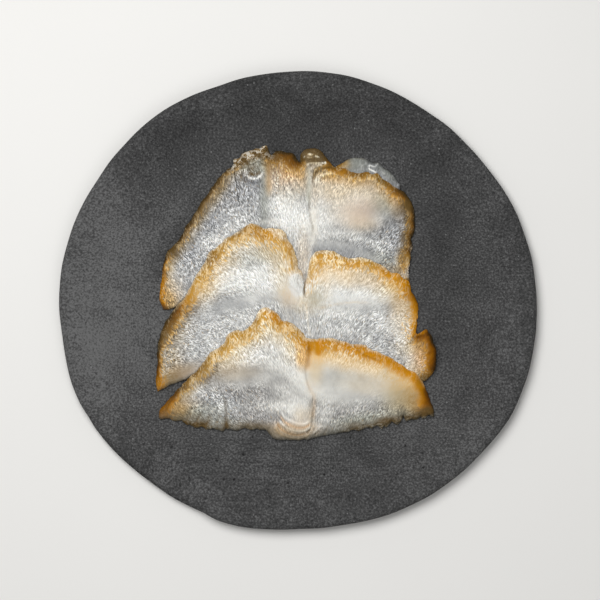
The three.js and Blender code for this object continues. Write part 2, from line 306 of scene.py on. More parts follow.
def addRelief(tree, shader, height, strength, deep):
    sockets = {"Strength": strength, "Distance": deep * mm, "Height": height}
    tree.links.new(addNode(tree, "ShaderNodeBump", sockets).outputs[0], shader["Normal"])


# Making pieces

def storeVector(mesh, name, *values):
    # two or three values for each point, in one attribute
    three = [*values, np.zeros(len(mesh.vertices))][:3]
    layer = mesh.attributes.new(name, "FLOAT_VECTOR", "POINT")
    layer.data.foreach_set("vector", np.column_stack(three).astype(np.float32).ravel())


def placeVerts(bm, x, y, z):
    for v, place in zip(bm.verts, np.column_stack([x, y, z]) * mm):
        v.co = place


def finishPiece(bm, name, material, node):
    mesh = bpy.data.meshes.new(name)
    bm.to_mesh(mesh)
    bm.free()
    mesh.shade_smooth()
    mesh.materials.append(material)
    piece = bpy.data.objects.new(name, mesh)
    bpy.context.scene.collection.objects.link(piece)
    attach(piece, "root")
    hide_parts(node)
    return piece


# The stoneware plate

plate = {
    "radius": 137.3,
    "top": 8.2,
    "rimRise": 1.8,
    # where the flat top ends, where the foot ends below, where the top gets the rim's unevenness
    # and where the slump sets in, as shares of the radius
    "flat": 0.81,
    "foot": 0.865,
    "rim": (0.86, 0.95),
    "slump": (0.93, 0.97),
    "turns": 480,
    "flatRings": 56,
    "footRings": 12,
    # (waves round the edge, reach, phase in degrees)
    "wobbles": [
        (1, 1.25, 107), (2, 2.85, 8), (3, 1.26, 77), (4, 0.3, 117), (6, 0.32, -104), (8, 0.39, 127),
        (9, 0.35, -102), (14, 0.12, 30), (19, 0.1, 200), (27, 0.08, 85), (38, 0.05, 310),
    ],
    # the slumped stretch of the rim, between two angles, where the lower edge stands out as a lip
    "lip": {"from": 204, "to": 251, "fade": 9, "height": 5.9, "recede": 1.7},
    "groove": {"deep": 1.5, "wide": 0.45},
    "bulge": {"out": 1.3, "wide": 0.9, "below": 1.5},
    # (size of the lumps, height)
    "unevenness": [(46, 0.16), (17, 0.07)],
    "rimUnevenness": [(30, 0.22), (9, 0.09)],
    "clay": tint(63, 63, 63),
    "cloudDark": tint(36, 36, 36),
    "cloudLight": tint(98, 98, 98),
    "pit": tint(22, 22, 22),
    "speck": tint(140, 140, 140),
    "roughness": (0.92, 0.74),
    "specular": 0.3,
    "relief": {"strength": 0.8, "deep": 0.4},
    # lighter and darker washes, as soft spots: partly the stoneware's cloudy tone, partly painted
    # light and shade, lighter at the left and darker at the top
    "washesAndPaintedLight": [
        (-112, -10, 34, 70, 0.85, 8), (-86, -76, 24, 22, -0.5, -40), (-60, -100, 60, 26, 0.2, -30),
        (100, -85, 40, 50, 0.22, 40), (0, 110, 104, 30, -0.75), (-76, 88, 30, 18, -0.45, 44),
        (77, 88, 34, 24, -0.25, -44), (88, 0, 16, 42, -0.5), (-57, 70, 14, 24, 0.15, 40),
        (78, 52, 24, 40, -0.15, 10), (-10, -96, 46, 9, -0.2, 6), (20, -112, 60, 9, -0.12, 4),
        (-44, 117, 46, 4.5, 0.3, 16), (122, 0, 9, 60, 0.1),
    ],
    # where the curved brush marks and the pits show most
    "brushed": [(0, -96, 70, 18, 1.0, 4), (-40, -104, 40, 16, 0.5, -14), (40, 112, 60, 10, 0.3, -8)],
    "pitted": [(20, -105, 110, 34, 0.8), (-60, -60, 30, 50, 0.3, 20), (90, 70, 50, 50, 0.35)],
}


def plateEdge(angle):
    wobbles = plate["wobbles"]
    wander = sum(reach * np.cos(waves * angle + math.radians(phase)) for waves, reach, phase in wobbles)
    return plate["radius"] + wander


def plateUnevenness(x, y):
    # how far the top stands above its even level
    return manyLumps(plate["unevenness"], x, y, 3.5)


def plateSection():
    # from the middle of the foot, up the wall and over the rim, to the middle of the top
    radius, top, rimTop = plate["radius"], plate["top"], plate["top"] + plate["rimRise"]
    flat, foot = plate["flat"], plate["foot"]
    wall = [
        (foot, 0), (0.885, 0.12), (0.91, 0.95), (0.955, 3.2), (0.99, top * 0.6), (1, top * 0.86),
        (0.994, rimTop - 1.1), (0.978, rimTop - 0.1), (0.955, rimTop), (0.925, rimTop - 0.35),
        (0.89, top + 0.85), (0.855, top + 0.24), (flat, top),
    ]
    wall = curveThrough([(radius * share, z) for share, z in wall], 4)
    inward = np.linspace(radius * flat, 0, plate["flatRings"] + 1)[1:]
    outward = np.linspace(0, radius * foot, plate["footRings"])[:-1]
    return [(r, 0) for r in outward] + [tuple(p) for p in wall] + [(r, top) for r in inward]


def slumpedRim(angle, radius, height):
    # the radius with the lip and groove of the slumped stretch
    lip, groove, bulge = plate["lip"], plate["groove"], plate["bulge"]
    turned = np.degrees(angle) % 360
    here = smoothStep(turned, lip["from"], lip["from"] + lip["fade"])
    here = here * (1 - smoothStep(turned, lip["to"] - lip["fade"], lip["to"]))
    outer = smoothStep(radius, *(plate["radius"] * share for share in plate["slump"]))
    above = height - lip["height"]
    shift = bulge["out"] * bell(above + bulge["below"], bulge["wide"])
    shift -= lip["recede"] * smoothStep(height, lip["height"] - 0.3, lip["height"] + 0.4)
    shift -= groove["deep"] * bell(above, groove["wide"])
    return radius + here * outer * shift


def stoneware():
    material, tree, shader = newMaterial("stoneware")
    place = placeInMm(tree)
    washAndPaintedLight, brushed, pitted = threeOf(tree, stored(tree, "washAndPaintedLight"))
    mottle = useGroup(tree, stoneMottle, {"Place": place})
    # the washes add their tone and their painted light and shade to the stone's clouds
    shade = calc(tree, "ADD", remap(tree, mottle["Cloud"], 0.3, 0.7, -0.5, 0.5, False), washAndPaintedLight)
    shade = calc(tree, "ADD", shade, remap(tree, mottle["Grain"], 0.25, 0.75, -1.9, 1.9, False))
    streaks = noiseAt(tree, scaled(tree, place, (0.05, 0.55, 0.3)), 1.0, 3.0, 0.6)
    streaks = calc(tree, "MULTIPLY", remap(tree, streaks, 0.35, 0.65, -0.35, 0.35, False), brushed)
    shade = calc(tree, "ADD", shade, streaks)
    dark = remap(tree, shade, -1.5, 0.0, 1.0, 0.0, False)
    light = remap(tree, shade, 0.0, 1.3, 0.0, 1.0, False)
    colour = mixColours(tree, dark, plate["clay"], plate["cloudDark"])
    colour = mixColours(tree, light, colour, plate["cloudLight"])
    colour = mixColours(tree, calc(tree, "MULTIPLY", mottle["Speck"], 0.55), colour, plate["speck"])
    pits = calc(tree, "MULTIPLY", mottle["Pit"], remap(tree, pitted, 0.0, 0.8, 0.5, 1.0))
    colour = mixColours(tree, pits, colour, plate["pit"])
    tree.links.new(colour, shader["Base Color"])
    roughness = remap(tree, mottle["Grain"], 0.3, 0.7, *plate["roughness"], False)
    tree.links.new(roughness, shader["Roughness"])
    shader["Specular IOR Level"].default_value = plate["specular"]
    addRelief(tree, shader, mottle["Height"], **plate["relief"])
    return material


def makePlate():
    bm = bmesh.new()
    section = [bm.verts.new((r, 0, z)) for r, z in plateSection()]
    edges = [bm.edges.new(pair) for pair in zip(section, section[1:])]
    bmesh.ops.spin(
        bm, geom=section + edges, cent=(0, 0, 0), axis=(0, 0, 1), angle=2 * math.pi,
        steps=plate["turns"], use_merge=True, use_duplicate=False,
    )
    bmesh.ops.remove_doubles(bm, verts=bm.verts[:], dist=0.001)
    bmesh.ops.recalc_face_normals(bm, faces=bm.faces[:])
    co = np.array([v.co for v in bm.verts])
    angle, radius, z = np.arctan2(co[:, 1], co[:, 0]), np.hypot(co[:, 0], co[:, 1]), co[:, 2]
    spread = slumpedRim(angle, radius, z) * plateEdge(angle) / plate["radius"]
    x, y = spread * np.cos(angle), spread * np.sin(angle)
    x, y = x - (x.max() + x.min()) / 2, y - (y.max() + y.min()) / 2
    onTop = smoothStep(z, plate["top"] - 1.2, plate["top"])
    rim = smoothStep(radius, *(plate["radius"] * share for share in plate["rim"]))
    wavy = sum(high * (lumps(x, y, size, 8.5) - 0.4) for size, high in plate["rimUnevenness"])
    placeVerts(bm, x, y, z + onTop * (plateUnevenness(x, y) * (1 - rim) + wavy * rim))
    piece = finishPiece(bm, "plate_stoneware", stoneware(), "plate")
    washesAndPaintedLight = [softSpots(plate[name], x, y) for name in ("washesAndPaintedLight", "brushed", "pitted")]
    storeVector(piece.data, "washAndPaintedLight", *washesAndPaintedLight)


makePlate()
print("plate made")


# How the slices lie: a field of heights over a square of the plate, cell by cell out to its reach,
# as what a new slice comes to lie on. A slice spans the hollows within its bridge of a height, and
# its folds are softened in a few passes. It lies on other slices where it is lifted off the plate.

lay = {
    "cell": 0.8,
    "reach": 96,
    "gap": 0.2,
    "bridge": 3,
    "soften": 3,
    "passes": 3,
    "lifted": (0.4, 2.6),
}


def newField():
    count = round(2 * lay["reach"] / lay["cell"]) + 1
    across, up = np.meshgrid(*[np.linspace(-lay["reach"], lay["reach"], count)] * 2)
    return plate["top"] + plateUnevenness(across, up)


def around(field, reach, combine):
    # each cell holds what combine makes of the cells within reach of it
    cells = round(reach / lay["cell"])
    wide = np.pad(field, cells, mode="edge")
    span = range(-cells, cells + 1)
    shifts = [(cells + i, cells + j) for i in span for j in span if i * i + j * j <= cells * cells + 1]
    rows, columns = field.shape
    return combine([wide[i : i + rows, j : j + columns] for i, j in shifts])


def highest(fields):
    return np.maximum.reduce(fields)


def average(fields):
    return sum(fields) / len(fields)


def fieldAt(field, x, y):
    c = np.clip((x + lay["reach"]) / lay["cell"], 0, field.shape[1] - 2)
    r = np.clip((y + lay["reach"]) / lay["cell"], 0, field.shape[0] - 2)
    i, j = np.floor(r).astype(int), np.floor(c).astype(int)
    s, t = c - j, r - i
    near = field[i, j] * (1 - s) + field[i, j + 1] * s
    far = field[i + 1, j] * (1 - s) + field[i + 1, j + 1] * s
    return near * (1 - t) + far * t


def raiseField(field, x, y, z):
    i = np.round((y + lay["reach"]) / lay["cell"]).astype(int).ravel()
    j = np.round((x + lay["reach"]) / lay["cell"]).astype(int).ravel()
    np.maximum.at(field, (i, j), z.ravel())


def drapedOver(field, bareField, x, y):
    # the height that a slice comes to lie at, and how far it lies on other slices, from 0 to 1
    sheet = around(field, lay["bridge"], highest)
    for _ in range(lay["passes"]):
        sheet = around(sheet, lay["soften"], average)
    sheet = np.maximum(sheet, around(field, lay["cell"], highest))
    cover = smoothStep(fieldAt(sheet - bareField, x, y), *lay["lifted"])
    return fieldAt(sheet, x, y) + lay["gap"], cover


# The slices of fish

fish = {
    # how thick a slice is, how thin its body may get above its edge, and how thick its edge is
    "thick": 3.0,
    "thinnest": 0.3,
    "edge": 0.3,
    "rindRound": 4.6,
    "cutRound": 3.2,
    # points along each lobe and from its rear to its front edge, crowded near the seam and edges
    "columns": 150,
    "rows": 118,
    "crowd": 0.3,
    "gather": 0.72,
    # how the muscle's grain leans away from the seam: from this depth, softly, and over this width
    "leanFrom": 8,
    "leanSoft": 4,
    "leanWide": 22,
    # a fold's step and its flat top, across, and how far it fades in and out, along
    "lap": {"step": (-0.5, 0.35), "flat": 1.5, "fadeIn": (-1, 5), "fadeOut": -9},
    # so many points at each end of an edge aren't fully ragged
    "evenEnds": 6,
    # (size of the lumps, height)
    "ragged": [(4.2, 0.42), (1.5, 0.2)],
    "undulation": [(24, 0.3), (11, 0.16), (4.5, 0.07)],
    "grainRelief": [(2.1, 0.05), (1.1, 0.045)],
    "crumbRelief": (1.5, 0.75),
    # the grain's relief is up to three times as high within this distance of the rind's edge
    "grainAtRind": 7,
    "fibre": {"across": 0.58, "along": 2.2, "bump": 0.6, "bumpDeep": 0.2},
    # what a slice's paint and strokes may name
    "tinges": (
        "pale", "warm", "pink", "green", "smooth", "rindWide", "rindDark", "orange", "stain", "thinned",
        "smoky",
    ),
    # darker rind and flesh beside it where the slice lies on the plate: painted shade at the edge
    "plateDark": 0.45,
    "crumbWide": 5,
    "rindLeast": 0.4,
    "clear": tint(84, 85, 88),
    "thin": tint(137, 138, 139),
    "white": tint(225, 225, 220),
    "cream": tint(230, 202, 152),
    "pink": tint(206, 180, 154),
    "green": tint(140, 143, 126),
    "gold": tint(185, 143, 58),
    "paleGold": tint(206, 168, 104),
    "orange": tint(205, 137, 10),
    "dull": tint(150, 124, 82),
    # the darkest rim: partly charred, partly painted shade at the edge
    "charAndShade": tint(56, 43, 22),
    # the cut edge's darkening: partly the thin edge's own sheer look, partly painted shade under it
    "sheerAndShade": tint(92, 89, 76),
    # the colour of the stains, and of the painted shade in creases and gaps
    "crease": tint(90, 70, 36),
    # pale flecks on the rind: partly its own cream flecks, partly painted glints
    "fleck": tint(245, 220, 172),
    "crumbPale": tint(214, 207, 192),
    "crumbTan": tint(138, 114, 76),
    "crumbDark": tint(58, 40, 16),
    # what the smoke, the scorched rind with its painted shade, and the shade beside it leave of a colour
    "tinge": (1.0, 0.765, 0.425, 1),
    "scorchAndShade": (0.27, 0.22, 0.26, 1),
    "shade": (0.5, 0.42, 0.3, 1),
    # the roughness between and on the strands, and the coat where there is no rind
    "roughness": (0.55, 0.35),
    "coat": 0.16,
    "gloss": {
        "Specular IOR Level": 0.06,
        "Coat Roughness": 0.25,
        "Subsurface Weight": 0.08,
        "Subsurface Radius": (1.0, 0.8, 0.6),
        "Subsurface Scale": 0.0012,
    },
}

# what each point of a slice carries for its material, up to three values to an attribute
carried = {
    "tone": ("pale", "warm", "pink"),
    "skin": ("toRind", "rindWide", "rindDark"),
    "edge": ("toCut", "crumbs", "orange"),
    "mark": ("smooth", "green", "stain"),
    "lap": ("thinned", "smoky"),
}


def fleshColour(tree, fibre, paint, strands, rind, blotch):
    # from clear to white, with cream, pink and green places, and with the smoke's tinge and shade
    # beside the rind
    streaky = calc(tree, "MULTIPLY", strands["Streak"], calc(tree, "MULTIPLY", paint["soft"], 0.09))
    # the pale paint is partly painted light and shade: brighter and darker zones, and highlights
    pale = calc(tree, "ADD", paint["pale"], remap(tree, blotch, 0.3, 0.7, -0.15, 0.15, False))
    pale = calc(tree, "ADD", pale, streaky)
    flesh = mixColours(tree, remap(tree, pale, 0.0, 1.0), fish["thin"], fish["white"])
    flesh = mixColours(tree, remap(tree, pale, -0.2, -1.2, smooth=False), flesh, fish["clear"])
    for name, colour in (("warm", "cream"), ("pink", "pink"), ("green", "green")):
        flesh = mixColours(tree, remap(tree, paint[name], 0.0, 1.0, smooth=False), flesh, fish[colour])
    smoky = remap(tree, strands["Strand"], 0.0, 1.0, 1.3, 0.6, False)
    smoky = calc(tree, "MULTIPLY", rind["Tinge"], smoky)
    smoky = calc(tree, "ADD", calc(tree, "MULTIPLY", smoky, fibre["tinge"]), paint["smoky"], True)
    flesh = scaled(tree, flesh, mixColours(tree, smoky, plainWhite, fish["tinge"]))
    shade = remap(tree, paint["rindDark"], 0.2, 1.2, smooth=False)
    shade = calc(tree, "MULTIPLY", rind["Shade"], shade)
    flesh = scaled(tree, flesh, mixColours(tree, shade, plainWhite, fish["shade"]))
    # the strands' light and dark, partly the fibres' own colour and partly painted glints on the wet
    # fibres, stand out less in pale and warm flesh
    most, least = fibre["contrast"], 0.45 * fibre["contrast"]
    contrast = remap(tree, calc(tree, "ADD", pale, paint["warm"]), 0.0, 1.0, most, least, False)
    contrast = calc(tree, "POWER", math.e, calc(tree, "MULTIPLY", paint["strand"], contrast))
    return vectorCalc(tree, "MINIMUM", {0: brightened(tree, flesh, contrast), 1: (1.0, 1.0, 1.0)})


def rindColour(tree, paint, strands, rind):
    # gold that pales inwards, orange or dull in places, scorched and charred where it is dark (partly
    # painted shade where the edge turns down), and broken by pale flecks
    amber = mixColours(tree, rind["Outer"], fish["paleGold"], fish["gold"])
    deeper = remap(tree, paint["orange"], 0.0, 1.0, smooth=False)
    deeper = calc(tree, "MULTIPLY", deeper, remap(tree, rind["Outer"], 0.0, 1.0, 0.5, 1.0))
    amber = mixColours(tree, deeper, amber, fish["orange"])
    amber = mixColours(tree, remap(tree, paint["orange"], 0.0, -1.0, smooth=False), amber, fish["dull"])
    scorchAndShade = remap(tree, paint["rindDark"], 0.0, 1.0, smooth=False)
    scorchAndShade = calc(tree, "MULTIPLY", rind["Outer"], scorchAndShade)
    amber = scaled(tree, amber, mixColours(tree, scorchAndShade, plainWhite, fish["scorchAndShade"]))
    charredAndShaded = remap(tree, paint["rindDark"], 0.4, 1.6, smooth=False)
    amber = mixColours(tree, calc(tree, "MULTIPLY", rind["Rim"], charredAndShaded), amber, fish["charAndShade"])
    amber = brightened(tree, amber, remap(tree, paint["fleck"], 0.0, 1.0, 1.2, 0.78, False))
    # the pale flecks, partly painted glints
    flecks = calc(tree, "ADD", strands["Strand"], calc(tree, "MULTIPLY", strands["Streak"], 0.45))
    plain = remap(tree, paint["orange"], 0.0, 1.0, 0.0, 0.35, False)
    plain = calc(tree, "ADD", calc(tree, "MULTIPLY", scorchAndShade, 0.6), plain)
    flecks = calc(tree, "SUBTRACT", remap(tree, flecks, 0.42, 0.95, 0.0, 0.85), plain, True)
    return mixColours(tree, calc(tree, "MULTIPLY", flecks, paint["rough"]), amber, fish["fleck"])


def crumbColour(tree, place):
    crumbs = noiseAt(tree, place, 0.42, 2.0, 0.5, 1.2)
    # the dark between the crumbs is partly their own brown, partly painted shadow
    crumb = mixColours(tree, remap(tree, crumbs, 0.36, 0.48), fish["crumbDark"], fish["crumbTan"])
    return mixColours(tree, remap(tree, crumbs, 0.5, 0.6), crumb, fish["crumbPale"])


def sliceMaterial(name, fibre):
    material, tree, shader = newMaterial(name)
    place = placeInMm(tree)
    paint = {}
    for label, names in carried.items():
        paint |= dict(zip(names, threeOf(tree, stored(tree, label))))
    sockets = {"Grain": stored(tree, "grain"), "Across": fibre["across"], "Along": fibre["along"]}
    strands = useGroup(tree, muscleFibre, sockets)
    blotch = noiseAt(tree, place, 0.1, 4.0, 0.6)
    # the strands and flecks, which fade where the flesh is painted smooth
    paint["rough"] = calc(tree, "MAXIMUM", calc(tree, "SUBTRACT", 1.0, paint["smooth"]), 0.0)
    paint["soft"] = calc(tree, "MINIMUM", paint["rough"], 1.0)
    fleck = calc(tree, "MULTIPLY", calc(tree, "SUBTRACT", strands["Fleck"], 0.5), paint["soft"])
    paint["fleck"] = calc(tree, "ADD", fleck, 0.5)
    uneven = remap(tree, blotch, 0.35, 0.65, 0.7, 1.25, False)
    uneven = calc(tree, "MULTIPLY", paint["rough"], uneven)
    strand = calc(tree, "SUBTRACT", strands["Strand"], 0.5)
    paint["strand"] = calc(tree, "MULTIPLY", strand, uneven)
    sockets = {"Place": place, "Distance": paint["toRind"], "Width": paint["rindWide"]}
    sockets |= {"Fleck": paint["fleck"], "Thinned": paint["thinned"]}
    rind = useGroup(tree, smokedRind, sockets)

    flesh = fleshColour(tree, fibre, paint, strands, rind, blotch)
    colour = mixColours(tree, rind["Rind"], flesh, rindColour(tree, paint, strands, rind))
    crumbs = remap(tree, paint["crumbs"], 0.2, 1.0)
    colour = mixColours(tree, crumbs, colour, crumbColour(tree, place))
    # darker towards the cut edge: partly its sheer look, partly painted shade under the edge
    sheerAndShade = remap(tree, paint["toCut"], 0.0, fibre["sheerAndShadeWide"], 1.0, 0.0)
    colour = mixColours(tree, calc(tree, "MULTIPLY", sheerAndShade, fibre["sheerAndShade"]), colour, fish["sheerAndShade"])
    # darker towards that colour: partly real stains, partly painted shade in creases, in the slit and
    # beside lapping edges
    stain = remap(tree, paint["stain"], 0.0, 1.0, 0.0, 0.9, False)
    tree.links.new(mixColours(tree, stain, colour, fish["crease"]), shader["Base Color"])

    roughness = remap(tree, strands["Strand"], 0.0, 1.0, *fish["roughness"], False)
    tree.links.new(roughness, shader["Roughness"])
    coat = remap(tree, rind["Rind"], 0.0, 1.0, fish["coat"], 0.0, False)
    tree.links.new(coat, shader["Coat Weight"])
    for socket, value in fish["gloss"].items():
        shader[socket].default_value = value
    addRelief(tree, shader, paint["strand"], fibre["bump"], fibre["bumpDeep"])
    return material


def bothLobes(edge):
    # the edge of both lobes as one line, with its points closer together near the seam
    steps = np.linspace(0, 1, fish["columns"] + 1)
    even, crowd = (1 - fish["crowd"]) * steps, fish["crowd"]
    left = pointsAlong(edge["left"], even + crowd * np.sin(steps * math.pi / 2))
    right = pointsAlong(edge["right"], even + crowd * (1 - np.cos(steps * math.pi / 2)))
    return np.vstack([left, right[1:]])


def frayed(line, crumbly):
    # a little waviness, and more of it in the crumbly places, but none at the ends
    x, y = line[:, 0], line[:, 1]
    shift = manyLumps(fish["ragged"], x, y, 5.1) * (1 + softSpots(crumbly, x, y))
    count = np.arange(len(line))
    ends = smoothStep(count, 0, fish["evenEnds"]) * smoothStep(count[::-1], 0, fish["evenEnds"])
    along = np.gradient(line, axis=0)
    normal = np.column_stack([-along[:, 1], along[:, 0]])
    normal /= np.linalg.norm(normal, axis=1)[:, None] + 1e-9
    return line + normal * (shift * ends)[:, None]


def bitten(line, bites):
    # bites out of the cut edge, each with sharp corners: (x, half width, depth)
    for at, wide, deep in bites:
        line[:, 1] += deep * np.exp(-np.abs(line[:, 0] - at) / wide)
    return line


def pointsBetween(rear, front, bow):
    # column by column from the rear edge to the front edge, with the columns near the seam bowed
    seam = fish["columns"]
    t = np.linspace(0, 1, fish["rows"] + 1)
    share = t - fish["gather"] * np.sin(2 * math.pi * t) / (2 * math.pi)
    nearSeam = bell(np.arange(len(rear)) - seam, seam / 5)
    bowed = nearSeam[:, None] * (bow * np.sin(math.pi * share))
    x = rear[:, :1] * (1 - share) + front[:, :1] * share + bowed
    return x, rear[:, 1:] * (1 - share) + front[:, 1:] * share


def stroke(wide, deep, path, fade=0.15, **tinges):
    # a groove along the path, or a ridge where deep is below 0: its half width and depth, and each
    # tinge that it has as (amount, half width)
    return {"wide": wide, "deep": deep, "path": path, "fade": fade, "tinges": tinges}


def strokeRelief(strokes, x, y, paint):
    # the height of the strokes, whose tinges are added to the paint
    total = np.zeros(x.shape)
    for s in strokes:
        far, share = distanceTo(curveThrough(s["path"], 6), x, y)
        fade = smoothStep(share, 0, s["fade"]) * smoothStep(1 - share, 0, s["fade"])
        total -= s["deep"] * bell(far, s["wide"]) * fade
        for tinge, (amount, wide) in s["tinges"].items():
            paint[tinge] = paint[tinge] + amount * bell(far, wide) * fade
    return total


def lapRelief(lap, x, y):
    # a fold whose left side stands over its right
    if not lap:
        return np.zeros(x.shape)
    path = curveThrough(lap["path"], 6)[::-1]
    start, end = path[0, 1], path[-1, 1]
    offset = x - np.interp(y, path[:, 1], path[:, 0])
    usual = fish["lap"]
    fade = smoothStep(y, *(start + way for way in usual["fadeIn"]))
    fade = fade * (1 - smoothStep(y, end + usual["fadeOut"], end))
    left = 1 - smoothStep(offset, *usual["step"])
    return lap["high"] * left * (1 - smoothStep(-offset, usual["flat"], lap["wide"])) * fade


def sliceRelief(shape, x, y, toRind, crumbly, paint):
    relief = strokeRelief(shape["strokes"], x, y, paint)
    relief += lapRelief(shape.get("lap"), x, y) + softSpots(shape.get("swells", []), x, y)
    relief += manyLumps(fish["undulation"], x, y, 1.7)
    grainy = manyLumps(fish["grainRelief"], x, y, 6.3) * (0.5 + bell(toRind, fish["grainAtRind"]))
    size, high = fish["crumbRelief"]
    relief += grainy + high * crumbly * lumps(x, y, size, 2.2)
    return relief


def roundOver(distance, width, lapping):
    # round where the edge stands on the plate, and thinned out where it laps another slice
    inward = 1 - (1 - np.clip(distance / width, 0, 1)) ** 2
    return np.sqrt(inward) * (1 - lapping) + inward * lapping


def closedSheet(x, y, upper, under):
    # a closed sheet between two heights, and which column, row and side each of its points is on
    columns, rows = x.shape[0] - 1, x.shape[1] - 1
    bm = bmesh.new()
    bmesh.ops.create_grid(bm, x_segments=columns, y_segments=rows, size=1)
    labels = ("column", "row", "under")
    columnOf, rowOf, underOf = [bm.verts.layers.int.new(label) for label in labels]
    for v in bm.verts:
        v[columnOf] = round((v.co.x + 1) / 2 * columns)
        v[rowOf] = round((1 - v.co.y) / 2 * rows)
    for part in bmesh.ops.extrude_face_region(bm, geom=bm.faces[:])["geom"]:
        if isinstance(part, bmesh.types.BMVert):
            part[underOf] = 1
    c, r, below = np.array([(v[columnOf], v[rowOf], v[underOf]) for v in bm.verts]).T
    placeVerts(bm, x[c, r], y[c, r], np.where(below == 1, under[c, r], upper[c, r]))
    bmesh.ops.recalc_face_normals(bm, faces=bm.faces[:])
    for label in labels:
        bm.verts.layers.int.remove(bm.verts.layers.int[label])
    return bm, c, r, below


def evenedOut(values):
    # each column with its neighbours' average, so that notches in the rim don't run inwards
    reach = 14
    padded = np.pad(values, ((reach, reach), (0, 0)), mode="edge")
    return average([padded[i : i + len(values)] for i in range(2 * reach + 1)])


def sliceGrain(lean, rear, front, x, y):
    # how far each point lies across the muscle and along it from the rear edge, in a grain that
    # leans outwards from the seam
    length = lengthAlong((rear + front) / 2)
    across = np.repeat(length[:, None], x.shape[1], axis=1)
    along = evenedOut(np.linalg.norm(np.stack([x - rear[:, :1], y - rear[:, 1:]]), axis=0))
    deep = along - fish["leanFrom"]
    deep = (deep + np.hypot(deep, fish["leanSoft"])) / 2 - fish["leanFrom"]
    fromSeam = across - length[fish["columns"]]
    return across + lean * np.tanh(fromSeam / fish["leanWide"]) * deep, along


def makeSlice(name, node, shape, field, bareField):
    crumbs = shape.get("crumbly", [])
    rear = frayed(bothLobes(shape["rear"]), crumbs)
    front = bitten(frayed(bothLobes(shape["front"]), crumbs), shape.get("bites", []))
    x, y = pointsBetween(rear, front, shape.get("bow", 0))
    leftEnd, rightEnd = [np.linspace(rear[end], front[end], 9) for end in (0, -1)]
    toRind = distanceTo(np.vstack([leftEnd[::-1], rear[::2], rightEnd]), x, y)[0]
    toCut = distanceTo(front[::2], x, y)[0]
    paint = {tinge: softSpots(shape["paint"].get(tinge, []), x, y) for tinge in fish["tinges"]}
    crumbly = softSpots(crumbs, x, y)
    body = fish["thick"] + sliceRelief(shape, x, y, toRind, crumbly, paint)
    under, cover = drapedOver(field, bareField, x, y)
    under = under + softSpots(shape.get("lifts", []), x, y)
    rindSide = roundOver(toRind, fish["rindRound"], cover)
    cutSide = roundOver(toCut, fish["cutRound"], 0)
    rounded = np.minimum(rindSide, cutSide)
    thick = fish["edge"] + np.maximum(body - fish["edge"], fish["thinnest"]) * rounded
    raiseField(field, x, y, under + thick)

    bm, c, r, below = closedSheet(x, y, under + thick, under)
    fibre = fish["fibre"] | shape["fibre"]
    piece = finishPiece(bm, name, sliceMaterial(name + "_flesh", fibre), node)
    across, along = sliceGrain(shape["lean"], rear, front, x, y)
    underPattern = 7.0 * below  # the underside has another part of the same pattern
    storeVector(piece.data, "grain", across[c, r], along[c, r], underPattern)
    base = shape["base"]
    paint |= {
        "pale": base["pale"] + base["cover"] * cover + paint["pale"],
        "warm": base["warm"] + paint["warm"],
        "toRind": toRind,
        "rindWide": np.maximum(base["rindWide"] + paint["rindWide"], fish["rindLeast"]),
        # the rind's dark, partly painted shade, and most where the slice lies on the plate
        "rindDark": base["rindDark"] + paint["rindDark"] + fish["plateDark"] * (1 - cover),
        "toCut": toCut,
        "crumbs": crumbly * bell(np.minimum(toRind, toCut), fish["crumbWide"]),
        "orange": base["orange"] + paint["orange"],
        "thinned": np.maximum(base["thinned"] * cover + paint["thinned"], 0),
    }
    for label, names in carried.items():
        storeVector(piece.data, label, *(paint[part][c, r] for part in names))
    print(name, "made")


# The outlines, strokes and paint of each slice. Its outlines run from the left end to the seam and
# on to the right end. Its base is what all of it is painted with: how pale, warm and orange it is,
# how pale it gets where it covers another slice, how wide and dark its rind is, and how much of
# that rind is missing where it laps another slice. Its paint and its other lists of places are soft
# spots, as softSpots takes them, and each paint's list runs from the rear to the front. The pale
# paint is partly painted light and shade: brighter and darker zones, and highlights. The rind's dark
# is partly painted shade where its edge turns down, and the stains are partly painted shade in
# creases, in the slit and beside lapping edges.

field = newField()
bareField = field.copy()

